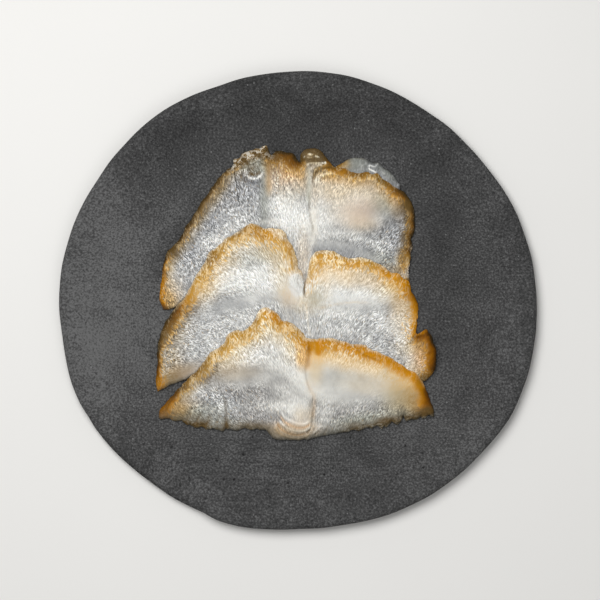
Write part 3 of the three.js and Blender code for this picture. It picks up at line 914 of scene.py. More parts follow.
underSlice = {
    "rear": {
        "left": [(-17, 75), (-5, 79), (10, 78.5), (21, 77.5)],
        "right": [
            (21, 77.5), (25, 79.8), (29, 82.3), (33, 83.4), (38, 82.9), (42, 81.2), (46, 80.6),
            (49.5, 78.4), (53.5, 75.2), (57, 71.6), (60, 67.5),
        ],
    },
    "front": {
        "left": [(-17.5, 50), (-7.5, 43.5), (5, 41.5), (17, 40.5)],
        "right": [(17, 40.5), (32, 40.5), (47, 44.5), (58.5, 54)],
    },
    "lean": 0,
    "fibre": {
        "across": 0.8, "along": 2.6, "contrast": 0.8, "tinge": 0.1, "bump": 0.4, "sheerAndShade": 0,
        "sheerAndShadeWide": 1,
    },
    "base": {
        "pale": -0.25, "cover": 0.3, "warm": 0, "rindWide": 0.4, "rindDark": 0.2, "orange": 0.3,
        "thinned": 0,
    },
    "strokes": [
        stroke(0.7, -0.25, [(36.6, 77.4), (37.4, 78.4), (38.9, 79.4), (41, 80.1)], pale=(0.9, 0.7)),
        stroke(0.7, -0.25, [(34.6, 75.4), (36.4, 76.4), (38.4, 76.3), (38.9, 74.8)], pale=(0.6, 0.9)),
        stroke(0.7, -0.4, [(40.2, 78), (42.6, 78.7), (44.7, 78), (46.5, 79.7), (48.3, 82)],
            pale=(1.7, 0.8)),
        stroke(0.6, -0.3, [(41, 77.6), (42.3, 76.3), (44.2, 75.4), (46.3, 74.1)], pale=(1.5, 0.7)),
        stroke(0.8, -0.25, [(47.8, 78.6), (49.2, 75.9), (51, 72.9)], pale=(0.9, 1)),
        stroke(0.7, -0.2, [(50.4, 72.2), (52.5, 71.6), (55, 71.9), (57, 71)], pale=(0.6, 0.9)),
        stroke(0.8, -0.2, [(55.6, 69.8), (57.9, 68.6), (60, 66.2)], pale=(0.6, 1.1)),
    ],
    "paint": {
        "pale": [
            (31, 81, 4, 4, -0.4), (46, 80, 7, 4, -1, -30), (38, 79, 5, 3, -0.3),
            (52.5, 74.2, 3, 2, 0.4, -40), (56.5, 73, 7, 4, -1.1, -45),
        ],
        "green": [(33, 80, 9, 6, 0.4), (52, 74, 8, 3, 0.3, -40)],
        "warm": [(26.5, 79.8, 3, 3.5, 0.5)],
        "smoky": [(27, 79.5, 4, 4, 0.8)],
        "stain": [(27, 79.5, 3.5, 4, 0.35)],
        "smooth": [(31, 80, 7, 5, 0.7), (50, 79, 8, 5, 0.6, -40)],
        "rindWide": [(22, 78, 5, 4, 2.5)],
    },
}
makeSlice("slice_under", "under_slice", underSlice, field, bareField)

backSlice = {
    "rear": {
        "left": [
            (-81.1, 0.4), (-80.3, 8.5), (-79.5, 13.5), (-78.5, 22), (-77.5, 26), (-75, 30), (-71.5, 33.5),
            (-69, 35.5), (-67.5, 39.5), (-62.5, 47.5), (-57.5, 55.5), (-53.5, 61.5), (-49.5, 67),
            (-46, 72), (-42, 76), (-38.2, 78.5), (-36.4, 82.4), (-31.9, 84.8), (-27.6, 87.8), (-23, 89.2),
            (-19, 90.5), (-17, 87), (-15.5, 85.5), (-12.5, 87), (-7.5, 87), (-3, 85.5), (0, 82),
            (1.4, 80.6), (1.5, 84.5), (3.2, 87.5), (7.6, 89),
        ],
        "right": [
            (7.6, 89), (11.9, 88.4), (14.8, 85.3), (18.6, 80.6), (22.5, 77.5), (27.5, 77), (31, 75),
            (36.5, 74), (40.5, 75), (43.2, 73.6), (46, 74), (49, 71.2), (53.8, 68), (59, 65), (63.4, 62),
            (66.2, 58), (68, 52), (68.5, 44), (66.5, 35.5), (66.5, 29), (65.5, 23), (65, 17.5),
            (65.5, 12),
        ],
    },
    "front": {
        "left": [(-78.6, -5.7), (-70, -3.9), (-57.5, 4.5), (-37, 7.5), (-13.5, 6), (4.5, -1)],
        "right": [(4.5, -1), (16, -4), (31.5, 0), (49, 0.5), (62.5, 4)],
    },
    "crumbly": [(-28, 84, 13, 7, 1.9, 25), (-16, 84, 3, 3, 0.5), (67, 28, 2, 5, 0.7)],
    "swells": [(8, 85, 6, 4.5, 1.3), (-11, 82, 8, 6, 0.8), (-29, 84, 8, 6, 0.7)],
    "lifts": [(66, 24, 8, 8, 1)],
    "lean": 0.3,
    "fibre": {"contrast": 1.75, "tinge": 0.8, "sheerAndShade": 0.3, "sheerAndShadeWide": 4},
    "base": {
        "pale": 0.02, "cover": 0.3, "warm": 0, "rindWide": 3, "rindDark": 0.9, "orange": 0.16,
        "thinned": 0.4,
    },
    "strokes": [
        stroke(0.55, 0.9, [(6.4, 64), (6.8, 58), (6.7, 53.5), (7.5, 47.2), (8.8, 42.3), (8.6, 38)],
            fade=0.12, stain=(0.5, 0.4)),
        stroke(0.9, 0.5, [(8.6, 40), (7.7, 32.9), (6.3, 24.8), (5, 14)], fade=0.12, pale=(0.35, 1.6),
            stain=(0.12, 0.5)),
        stroke(1.5, 0.5, [(6.2, 79), (6.3, 75), (6.5, 69.5), (6.3, 62), (6.3, 54)], fade=0.2,
            pale=(0.5, 1.3), smooth=(0.6, 1.6), rindWide=(-9, 1.8), green=(0.45, 1.4)),
        stroke(0.8, -0.4, [(4.5, 78.1), (7.1, 80.1), (10.7, 80.1), (14.4, 80.5), (17.3, 79.9)],
            pale=(0.55, 0.9), rindWide=(-6, 1), green=(0.2, 1), stain=(-0.4, 1)),
        stroke(0.7, 0.6, [(4.2, 80.6), (8, 81.6), (12.6, 81.4), (16.4, 81)], stain=(0.9, 0.9)),
        stroke(0.5, -0.3, [(8.1, 77.2), (11.3, 78.4), (14.9, 79.2)], pale=(0.4, 0.6), rindWide=(-3, 0.7)),
        stroke(1.2, 0.3, [(1.9, 80.6), (1.9, 84.2), (3.5, 87), (7.6, 88.3), (11.7, 87.7), (14.6, 85),
            (17.6, 81.4)], fade=0.06, stain=(2, 1.9)),
        stroke(0.6, -0.4, [(2.9, 82), (3.3, 83.4), (4.4, 84.4)], pale=(0.9, 0.6), stain=(-1, 0.6),
            warm=(-0.5, 0.7)),
        stroke(0.7, -0.5, [(6.1, 85.9), (7.2, 85.2), (8.8, 84.9)], pale=(1.2, 0.6), stain=(-1.5, 0.55),
            smooth=(-1, 1.2), warm=(-0.5, 0.8)),
        stroke(0.6, -0.4, [(9.6, 84), (11, 83.9), (12.5, 83.2)], pale=(0.9, 0.5), stain=(-1.1, 0.5),
            smooth=(-1, 1), warm=(-0.5, 0.7)),
        stroke(0.5, -0.3, [(5.2, 83.6), (6.8, 83.2), (8.4, 83.3)], pale=(0.5, 0.5), stain=(-0.6, 0.5)),
        stroke(0.9, 0.35, [(8.6, 66), (9.4, 72), (12.5, 76), (18, 77.6), (24, 76.6)], stain=(0.7, 0.9),
            rindWide=(3, 1)),
        stroke(1, -0.3, [(10.2, 66), (11.1, 71), (15.1, 73.4), (20, 73.9), (24.6, 72.3)], pale=(0.5, 1),
            rindWide=(-3.5, 1.2)),
        stroke(0.8, -0.5, [(-31.5, 76.5), (-30.2, 73.2), (-27.4, 71.2), (-24.6, 70.9), (-21.6, 73),
            (-20, 76)], pale=(1.1, 0.75), smooth=(0.1, 1), green=(-0.3, 1.2)),
        stroke(1.2, 0.3, [(-33.8, 75), (-31.6, 71), (-28, 69), (-23.4, 68.8), (-19.4, 71.6)],
            pale=(-1.1, 1.3), smooth=(0.45, 1.4)),
        stroke(0.7, 0.5, [(-28.8, 75.4), (-26.6, 73.4), (-23.4, 73.6), (-22.2, 76)], stain=(0.9, 0.8)),
        stroke(0.7, -0.3, [(-27.6, 78.6), (-25.2, 76.4), (-23.4, 78.2)], pale=(0.4, 0.8)),
        stroke(1.4, -0.2, [(-17, 85), (-17, 74), (-16.8, 58)], fade=0.3, warm=(0.4, 1.8),
            pink=(0.4, 1.8), stain=(0.25, 1.6), smooth=(0.3, 1.6), smoky=(0.35, 2.2)),
        stroke(2, -0.15, [(9, 36), (16, 38.2), (24, 38.4), (35, 36.4), (45, 32), (53, 26.5)],
            pale=(0.3, 2.4)),
        stroke(2.4, 0.2, [(8.5, 29.6), (14, 31.8), (22, 32), (32, 29.8), (42, 26), (51, 21.5)],
            pale=(0.22, 3.2), smooth=(0.7, 3)),
        stroke(0.5, 0.7, [(-71, 35), (-68, 33), (-65, 28.5)], stain=(0.5, 0.5)),
        stroke(0.6, 0.3, [(1.5, 34), (0.6, 24), (1.8, 12)], stain=(0.1, 0.5)),
        stroke(0.6, 0.5, [(64.2, 31), (61, 27), (59.2, 21)], stain=(0.3, 0.6), rindWide=(1.5, 2)),
    ],
    "paint": {
        "pale": [
            (-4.5, 79, 3, 3, 0.35), (12, 77, 9, 4, -0.3), (-27, 75, 5, 4, -0.35), (-28, 68, 8, 4, -0.1),
            (-6, 67, 8, 6, -0.35), (28, 66, 18, 6, 0.05), (-2, 66, 10, 14, -0.15),
            (-43, 62, 6, 9, -0.55, -34), (22, 62, 9, 5, -0.12), (-33, 62, 6, 5, -0.15),
            (-33, 62, 5, 6, -0.15), (39, 60, 5, 4, 0.25), (-20, 60, 3.5, 16, -0.1),
            (28, 60, 26, 14, -0.08), (-30, 58, 10, 14, 0.12), (56, 57, 4, 4, -0.25), (51, 56, 8, 7, -0.2),
            (14, 56, 7, 9, 0.3), (30, 55, 9, 9, 0.4), (-42, 52, 24, 16, 0.26, 50), (-5, 52, 9, 26, 0.62),
            (-11, 48, 4, 3, -0.1), (56, 46, 5, 4, -0.2), (-48, 45, 5, 5, -0.12), (-18, 45, 9, 3, 0.45),
            (12, 44, 16, 10, 0.4), (-53, 43, 4, 5, -0.25), (8.5, 42, 3, 10, 0.4), (46, 41, 8, 5, -0.2),
            (-10, 40, 5, 4, -0.15), (22, 40, 8, 5, -0.16), (50, 38, 10, 12, 0.24, 30),
            (-44, 36, 18, 7, 0.3, 38), (57, 36, 3, 5, -0.25), (-58, 34, 5, 3.5, 0.15, 30),
            (24, 34, 16, 3, 0.15), (66.4, 28.8, 1.3, 2.6, 2), (-64, 27, 4, 4, -0.25),
            (3, 26, 4, 14, 0.35), (66.5, 24, 1.6, 8, 0.3), (-62, 22, 4, 5, -0.15),
            (48, 22, 12, 4, 0.05, -20), (-68, 20, 4, 5, -0.15), (18, 20, 18, 3, 0.1),
            (-74, 18, 2.5, 4, 0.3), (-66, 14, 10, 14, 0.45, 30), (-66, 12, 6, 7, -0.15),
        ],
        "warm": [
            (8, 84, 6, 4, 0.6), (-6, 72, 10, 12, 0.35), (-6, 69, 4, 7, -0.25), (22, 66, 16, 9, 0.45),
            (46, 62, 14, 8, 0.35, -20), (57, 56, 4, 8, 0.3, 10), (26, 52, 10, 8, 0.2),
            (38, 45, 9, 5, 0.3), (3, 26, 4, 16, 0.2), (62, 18, 5, 10, 0.3), (-74, 4, 7, 10, 0.3),
        ],
        "pink": [
            (-7, 74, 9, 8, 0.75), (56, 58, 4, 6, 0.3), (36, 52, 11, 8, 0.55, 15), (3, 28, 4, 20, 0.15),
            (66, 24, 3, 7, 0.7),
        ],
        "green": [
            (8, 83, 7, 3, 0.6), (-25, 78, 8, 6, 0.5), (-2, 64, 9, 8, 0.15), (-19.5, 60, 3.2, 22, 0.35),
            (50, 56, 7, 7, 0.4), (50, 24, 10, 5, 0.3, -20),
        ],
        "smooth": [
            (-9, 75, 8, 10, -0.7), (-28, 74, 7, 4, -0.4), (15, 73, 8, 5, -0.5), (-19.5, 60, 3, 20, 0.6),
            (-32, 60, 12, 14, -0.3, -10), (14, 56, 10, 20, 0.2), (-58, 54, 3, 16, 0.35, -34),
            (40, 50, 20, 12, 0.9, 12), (8, 40, 4, 14, 0.5), (54, 34, 9, 10, -0.3),
            (-60, 30, 14, 18, -0.15, -34),
        ],
        "stain": [
            (-17.8, 88.2, 1.2, 1.6, 0.9), (-26, 86.4, 1.2, 0.9, 0.8, -30), (-18, 86, 3.5, 3, 0.7),
            (-22.8, 84.4, 2.4, 1.1, 1.3, -30), (-28, 84, 9, 4, 0.15, 25), (-12.5, 83.4, 3.5, 2.5, 0.4),
            (8.5, 83.3, 7, 3.8, 0.95), (-31.8, 82.5, 2, 1.2, 1.2, -40), (-8, 82, 8, 6, 0.3),
            (-9, 82, 5, 3, 0.1), (-36, 80.4, 1.4, 1.2, 0.7), (-29.8, 80.2, 1.6, 1.2, 0.9, -30),
            (-26, 79, 6, 2, 0.25), (-16, 78, 3, 7, 0.25), (-30, 78, 5, 3, 0.2), (12, 77.5, 9, 4, 0.2),
            (-25.5, 77, 3.5, 2, 0.4), (-26.5, 75, 3.5, 2, 0.3), (-13, 74, 3, 5, 0.45),
            (-33, 72, 2.5, 4, 0.35), (-29, 72, 3, 3, 0.3), (46, 72, 4, 2, 0.3, -20),
            (-44, 70, 4, 9, 0.55, -34), (50, 68.5, 3.5, 2.6, 0.6, -30), (56, 64, 4, 2.5, 0.45, -35),
            (62, 62, 4, 3, 0.3, -40), (65.4, 57, 2.5, 6, 0.6), (64.5, 56, 2.5, 3, 0.45),
            (64.6, 55.6, 3, 4, 0.15), (60, 54, 4, 5, 0.25), (-57, 52, 3.5, 14, 0.6, -34),
            (58, 52, 4, 4, 0.2), (62.5, 46, 4, 13, 0.4), (65.6, 44, 2.2, 8, 0.35), (62, 36, 3, 5, 0.35),
            (-71, 32, 3, 3, 0.3), (62, 30, 3, 6, 0.3), (-73, 30, 3, 5, 0.3, 40),
            (66, 28.5, 1.5, 2.6, -0.6), (-73, 28, 4, 6, 0.8, 40), (61.5, 25, 2, 3, 0.3),
            (64, 24, 2, 3, 0.3), (61.5, 22, 3, 4, 0.15), (54, 18, 6, 3, 0.3, -20), (60, 18, 4, 3, 0.25),
            (-78, 1.5, 3, 4, 0.08),
        ],
        "rindWide": [
            (8, 86, 8, 5, -9), (-7, 82, 10, 11, 8), (28, 76, 20, 8, 3.4), (42, 75, 6, 5, -1),
            (58, 64, 9, 9, 3.2), (-60, 52, 8, 34, 1, -34), (66, 44, 4, 14, 1.6),
            (66.4, 28.8, 1.4, 2.8, -4), (61.5, 25, 4, 6, 1.6), (66, 17, 3, 7, -3.4),
            (-78, 8, 6, 18, -0.9), (-77.6, 1, 4, 4, 1.2),
        ],
        "rindDark": [
            (-8, 83, 10, 8, 0.8), (24, 78, 14, 6, -0.3, -10), (50, 71, 12, 6, -0.4, -30),
            (-48, 66, 4, 12, 0.3, -34), (64, 58, 6, 8, 1.3), (-60, 52, 14, 40, 0.8, -34),
            (66, 48, 7, 18, 1.5), (-74, 28, 5, 6, 0.8, 40), (64, 22, 5, 11, -1.2), (-80, 8, 4, 15, -1),
        ],
        "orange": [
            (-6, 83, 10, 8, 0.5), (24, 77, 12, 5, 0.5), (60, 62, 9, 7, 0.6, -30),
            (-58, 55, 14, 40, -0.9, -34), (68, 42, 4, 10, 0.5), (-76, 24, 4, 6, 0.5), (62, 24, 6, 8, 0.2),
            (-79, 8, 6, 18, 0.9), (-81, 0, 4, 6, 0.5),
        ],
        "smoky": [
            (8.5, 84, 7, 5, 0.6), (-4, 76, 10, 6, 0.1), (-12, 76, 5, 5, -0.2), (15, 75, 10, 5, 0.7),
            (3, 73, 3, 8, 0.5), (6, 73, 3, 5, -0.15), (46, 70, 10, 4, 0.2, -25),
            (-46, 68, 4, 12, 0.3, -34), (-5, 67, 7, 6, 0.12), (55, 66, 7, 5, -0.4, -30),
            (-43, 64, 7, 10, 0.15, -34), (9.5, 52, 2.5, 22, 0.15), (61, 42, 5, 14, -0.2),
            (-76, 24, 3, 6, 0.4), (61.5, 22, 3, 4, 0.2), (54, 18, 6, 3, 0.4, -20), (63, 15, 4, 6, -0.6),
            (-77, 14, 5, 12, 0.1), (-80, 2, 3, 6, 0.3), (-77.6, 1.5, 4, 5, 0.3), (-76, 0, 5, 5, 0.3),
            (-76, -1, 8, 7, 0.5),
        ],
    },
}
makeSlice("slice_back", "back_slice", backSlice, field, bareField)

middleSlice = {
    "rear": {
        "left": [
            (-82.7, -51), (-83, -46), (-82.2, -36), (-82, -25.5), (-80.7, -21), (-78.5, -15), (-75, -9),
            (-71.5, -4.5), (-67.5, -0.5), (-64, 5), (-62, 9), (-59, 15), (-55.5, 20), (-52, 27.5),
            (-48, 30.5), (-45, 33), (-42, 36.5), (-38.5, 38), (-35, 40), (-31, 43), (-27.5, 44.5),
            (-24, 44), (-21, 42.5), (-15.5, 42), (-12, 41.7), (-7.8, 39.8), (-5.8, 35.5), (-2.8, 31),
            (-1, 25.5), (0, 20), (2, 16), (3, 8.5),
        ],
        "right": [
            (3, 8.5), (5, 13.5), (5.5, 17.5), (6, 20), (7.5, 25), (10.5, 28), (15, 29), (19, 29),
            (22.5, 28), (26.5, 25.5), (31, 24.5), (36, 25), (40, 24.5), (44.5, 22.5), (48, 21), (52, 18),
            (55, 16), (58.5, 15.5), (61.5, 13), (65, 10.5), (66.5, 5), (69.5, 0.5), (70.5, -4.5),
            (70, -10.5), (69.5, -16), (69.5, -19.5), (72, -18.5), (75.3, -16.7), (76.4, -18.8),
            (78.4, -22), (79.6, -26), (80.7, -30), (80.8, -35.5), (80, -40), (78.6, -43.2),
        ],
    },
    "front": {
        "left": [
            (-82, -53.5), (-78.5, -51.3), (-72, -48.2), (-64.5, -46), (-48.5, -38.5), (-28, -35.5),
            (-7.5, -39.5), (6, -52.5),
        ],
        "right": [(6, -52.5), (16, -57), (33.5, -57.5), (51, -56), (64, -52), (75, -46.8)],
    },
    "swells": [(-24, 36, 14, 10, 0.7)],
    "lifts": [(79, -28, 9, 14, 3)],
    "lean": 0.6,
    "fibre": {"contrast": 1.8, "tinge": 0.82, "sheerAndShade": 0.4, "sheerAndShadeWide": 4},
    "base": {
        "pale": 0.4, "cover": 0.25, "warm": 0, "rindWide": 6, "rindDark": 0.15, "orange": 0.15,
        "thinned": 1.1,
    },
    "strokes": [
        stroke(0.5, 1.2, [(5, 15), (4, 10), (3.7, 6), (4.5, 0)], fade=0.3, stain=(1.1, 0.55)),
        stroke(0.5, 0.4, [(-1, 14), (2, 7), (3.8, 3)], stain=(0.15, 0.4)),
        stroke(0.5, 0.3, [(-6, 8), (-3, 7.4), (0.9, 3), (-0.6, -2), (-4, -3)], stain=(0.18, 0.4)),
        stroke(0.5, 0.25, [(-1.3, -8.3), (1, -7.4), (3.4, -5.6)], stain=(0.14, 0.4)),
        stroke(0.7, -0.2, [(4.6, -0.7), (5.4, -8.8), (6.3, -16.4), (8.1, -22.2)], pale=(0.25, 0.6),
            warm=(0.15, 0.6), smooth=(0.3, 0.8)),
        stroke(0.5, -0.15, [(10.4, -5.6), (17.5, -3.4), (21.5, -2.4), (32, -1.2), (44, -1.5)],
            warm=(0.25, 0.5)),
        stroke(0.7, 0.9, [(68.5, -20.5), (67, -23), (65.2, -25.9)], stain=(0.35, 0.7)),
    ],
    "paint": {
        "pale": [
            (-12, 40.5, 4, 2.6, 0.6, -20), (-31, 24, 11, 6, -0.08), (-5, 22, 4, 4, 0.25),
            (20, 12, 16, 9, 0.3), (42, 12, 18, 5, -0.2, -10), (-34, 11, 22, 7, 0.35, 10),
            (-53, 11, 5, 6, -0.4, -35), (22, 10, 14, 5, -0.15), (0, 4, 8, 14, 0.25),
            (-38, 4, 12, 4, -0.15, 10), (-13, 3, 5, 4, 0.15), (-26, 2, 7, 3.5, 0.25, 10),
            (0, 0.5, 3.5, 5, 0.35), (31, 0, 24, 5, 0.24), (4, 0, 7, 5, -0.2), (-62, -5, 6, 4, -0.4, 30),
            (10, -6, 10, 3, 0.1), (26, -7.5, 18, 3.2, 0.3), (-48, -8, 4, 8, -0.15, 30),
            (-34, -12, 10, 6, 0.15), (48, -12, 6, 4, 0.2), (45, -13, 9, 4, -0.15), (26, -14, 18, 6, 0.12),
            (20, -14, 6, 4, -0.1), (-38, -14, 6, 5, -0.12), (-64, -14, 5, 12, -0.12, -35),
            (-51, -15, 20, 9, 0.1, 30), (60, -16, 6, 12, 0.2), (52, -20, 12, 8, 0.05),
            (-73, -20, 4, 6, -0.25, -25), (-62, -20, 4, 7, -0.15), (52, -26, 7, 5, -0.15),
            (-63, -30, 5, 4, 0.1), (-75, -32, 4, 14, -0.12), (-66, -33, 12, 8, -0.08, 40),
            (68, -34, 5, 8, 0.35), (-66, -35, 7, 6, -0.12), (69, -35, 4, 5, -0.2), (-69, -39, 6, 4, -0.2),
            (-66, -42, 8, 4, -0.15, 30),
        ],
        "warm": [
            (-18, 27, 9, 5, 0.2), (26, 14, 26, 6, 0.45, -8), (-50, 12, 8, 20, 0.25, -40),
            (60, -4, 7, 16, 0.35), (-68, -42, 12, 5, 0.3, 20),
        ],
        "smoky": [
            (-16, 37.5, 4, 4, -0.2), (-28, 28, 12, 5, -0.25), (-2, 27, 3, 7, 0.5, 15),
            (-5, 22, 4, 5, -0.3), (-44, 15, 9, 9, -0.3, -35), (30, 14, 18, 6, -0.25, -8),
            (8, 13, 4, 5, -0.2), (-1, 10, 6, 9, -0.5), (56, 10, 5, 5, 0.4, -30), (9, 9, 8, 8, -0.35),
            (-60, 6, 3, 4, -0.3), (-66, -3, 4, 4, 0.4), (-55, -6, 9, 7, -0.3), (68, -11, 3, 8, 0.25),
            (-64, -12, 6, 12, -0.2, -35), (60, -15, 7, 10, -0.6), (68, -18, 4, 4, -0.3),
            (-77.8, -21, 3.5, 7, 0.5, -15), (72, -28, 5, 6, 0.35), (-76, -30, 4, 10, -0.25),
            (77, -36, 5, 9, -0.2),
        ],
        "pink": [(-5, 2, 5, 6, 0.25), (72, -33, 6, 10, 0.7), (-66, -44, 12, 4, 0.25, 20)],
        "green": [
            (-18, 27, 9, 5, 0.3), (-31, 24, 12, 6, 0.2), (10.5, 1.5, 5, 6, 0.35), (-74, -47, 6, 4, 0.3),
        ],
        "stain": [
            (-75.5, -16, 3.5, 8, 0.4, -25), (-78.2, -21, 2.6, 6, 0.5, -15), (-78.5, -24, 2.5, 5, 0.2),
            (73, -26, 3, 4, 0.2), (73, -30, 4, 4, 0.14), (-80.6, -35, 2.2, 7, 0.3), (69, -35, 4, 4, 0.08),
            (-68, -42, 8, 3, 0.4, 25), (72.5, -45, 5, 2.4, 0.8, 20), (-75, -47, 7, 4, 0.33, 20),
            (-82, -47, 2.5, 5, 0.2),
        ],
        "smooth": [
            (-50, 24, 5, 7, -0.6, -40), (20, 24, 16, 4, -0.6), (30, 10, 30, 9, 0.35, -8),
            (-6, 4, 6, 8, 0.8), (-62, 3, 5, 10, 0.5, -40), (28, -1, 34, 5, 0.7, -3),
            (-34, -1, 26, 4.5, 0.8, 12), (68, -2, 5, 16, 0.6), (79, -30, 4, 12, 0.8),
            (-68, -44, 14, 4.5, 0.9, 20),
        ],
        "rindWide": [
            (-12, 41, 4, 2.6, -2.5, -20), (-28, 38, 5, 4, 2), (-13, 36, 14, 10, 3.8, 30),
            (-19, 36, 4, 4, 2), (-2, 28, 4, 8, 4, 15), (20, 26, 22, 8, 1.4), (-46, 25, 6, 5, 2.6, -40),
            (20, 23, 7, 4, 2), (24, 22, 20, 6, 1.6), (1, 12, 6, 10, -3.6), (60, 12, 8, 8, 2.4),
            (7.5, 11, 4, 9, -2), (-54, 11, 6, 6, 2, -35), (0, 8, 4, 7, -3), (68, -6, 6, 16, -1.5),
            (-70, -8, 8, 12, 1.2, -35), (-74.5, -15, 5, 9, 2.4, -25), (68, -17, 4, 4, -1.6),
            (81, -28, 7, 12, 4.6), (-81, -32, 6, 20, -3.2), (-78, -49, 6, 5, 1),
        ],
        "rindDark": [
            (-26, 40, 10, 4, 0.4), (-12, 38, 9, 9, -0.3, 30), (-16, 37.5, 4, 4, -0.2),
            (-19, 36, 3, 3, 0.4), (-40, 34, 12, 6, 0.3, 40), (22, 24, 16, 5, -0.15),
            (-50, 23, 6, 6, 0.55, -40), (69, 2, 4, 12, 0.1), (69, -14, 5, 9, -0.7),
            (-76, -16, 7, 16, 1.8, -25), (-76, -16, 4, 8, 0.4, -25), (73, -20, 3, 3, -0.6),
            (74, -24.5, 6, 6, 1.9), (78.2, -33, 3, 6, -0.22), (82, -34, 3, 10, 0.6),
            (-82, -36, 4, 10, 0.4), (78, -37, 4, 5, 0.5), (-80, -50, 6, 6, -0.3),
        ],
        "orange": [
            (-24, 40, 10, 6, 0.3), (-14, 39, 8, 8, 0.2), (-3.5, 30, 3, 8, 0.5, 20), (18, 24, 12, 5, 0.3),
            (34, 20, 6, 4, 0.4), (55, 18, 10, 8, 0.5), (54, 14, 10, 6, 0.3, -20), (66, 4, 6, 8, 0.4),
            (68, 0, 8, 22, 0.7), (-66, -4, 6, 8, 0.5, -30), (71, -19, 5, 4, 0.3), (78, -28, 8, 14, 1.1),
            (-83, -38, 4, 12, 0.6), (-82, -48, 6, 8, 1),
        ],
        "thinned": [
            (-11.5, 38, 5, 5, 3, -20), (-6, 28, 4, 9, 1, 20), (14, 28, 9, 4, 0.7), (0, 14, 4, 10, 1.5),
            (62, 6, 12, 14, -1),
        ],
    },
}
makeSlice("slice_middle", "middle_slice", middleSlice, field, bareField)

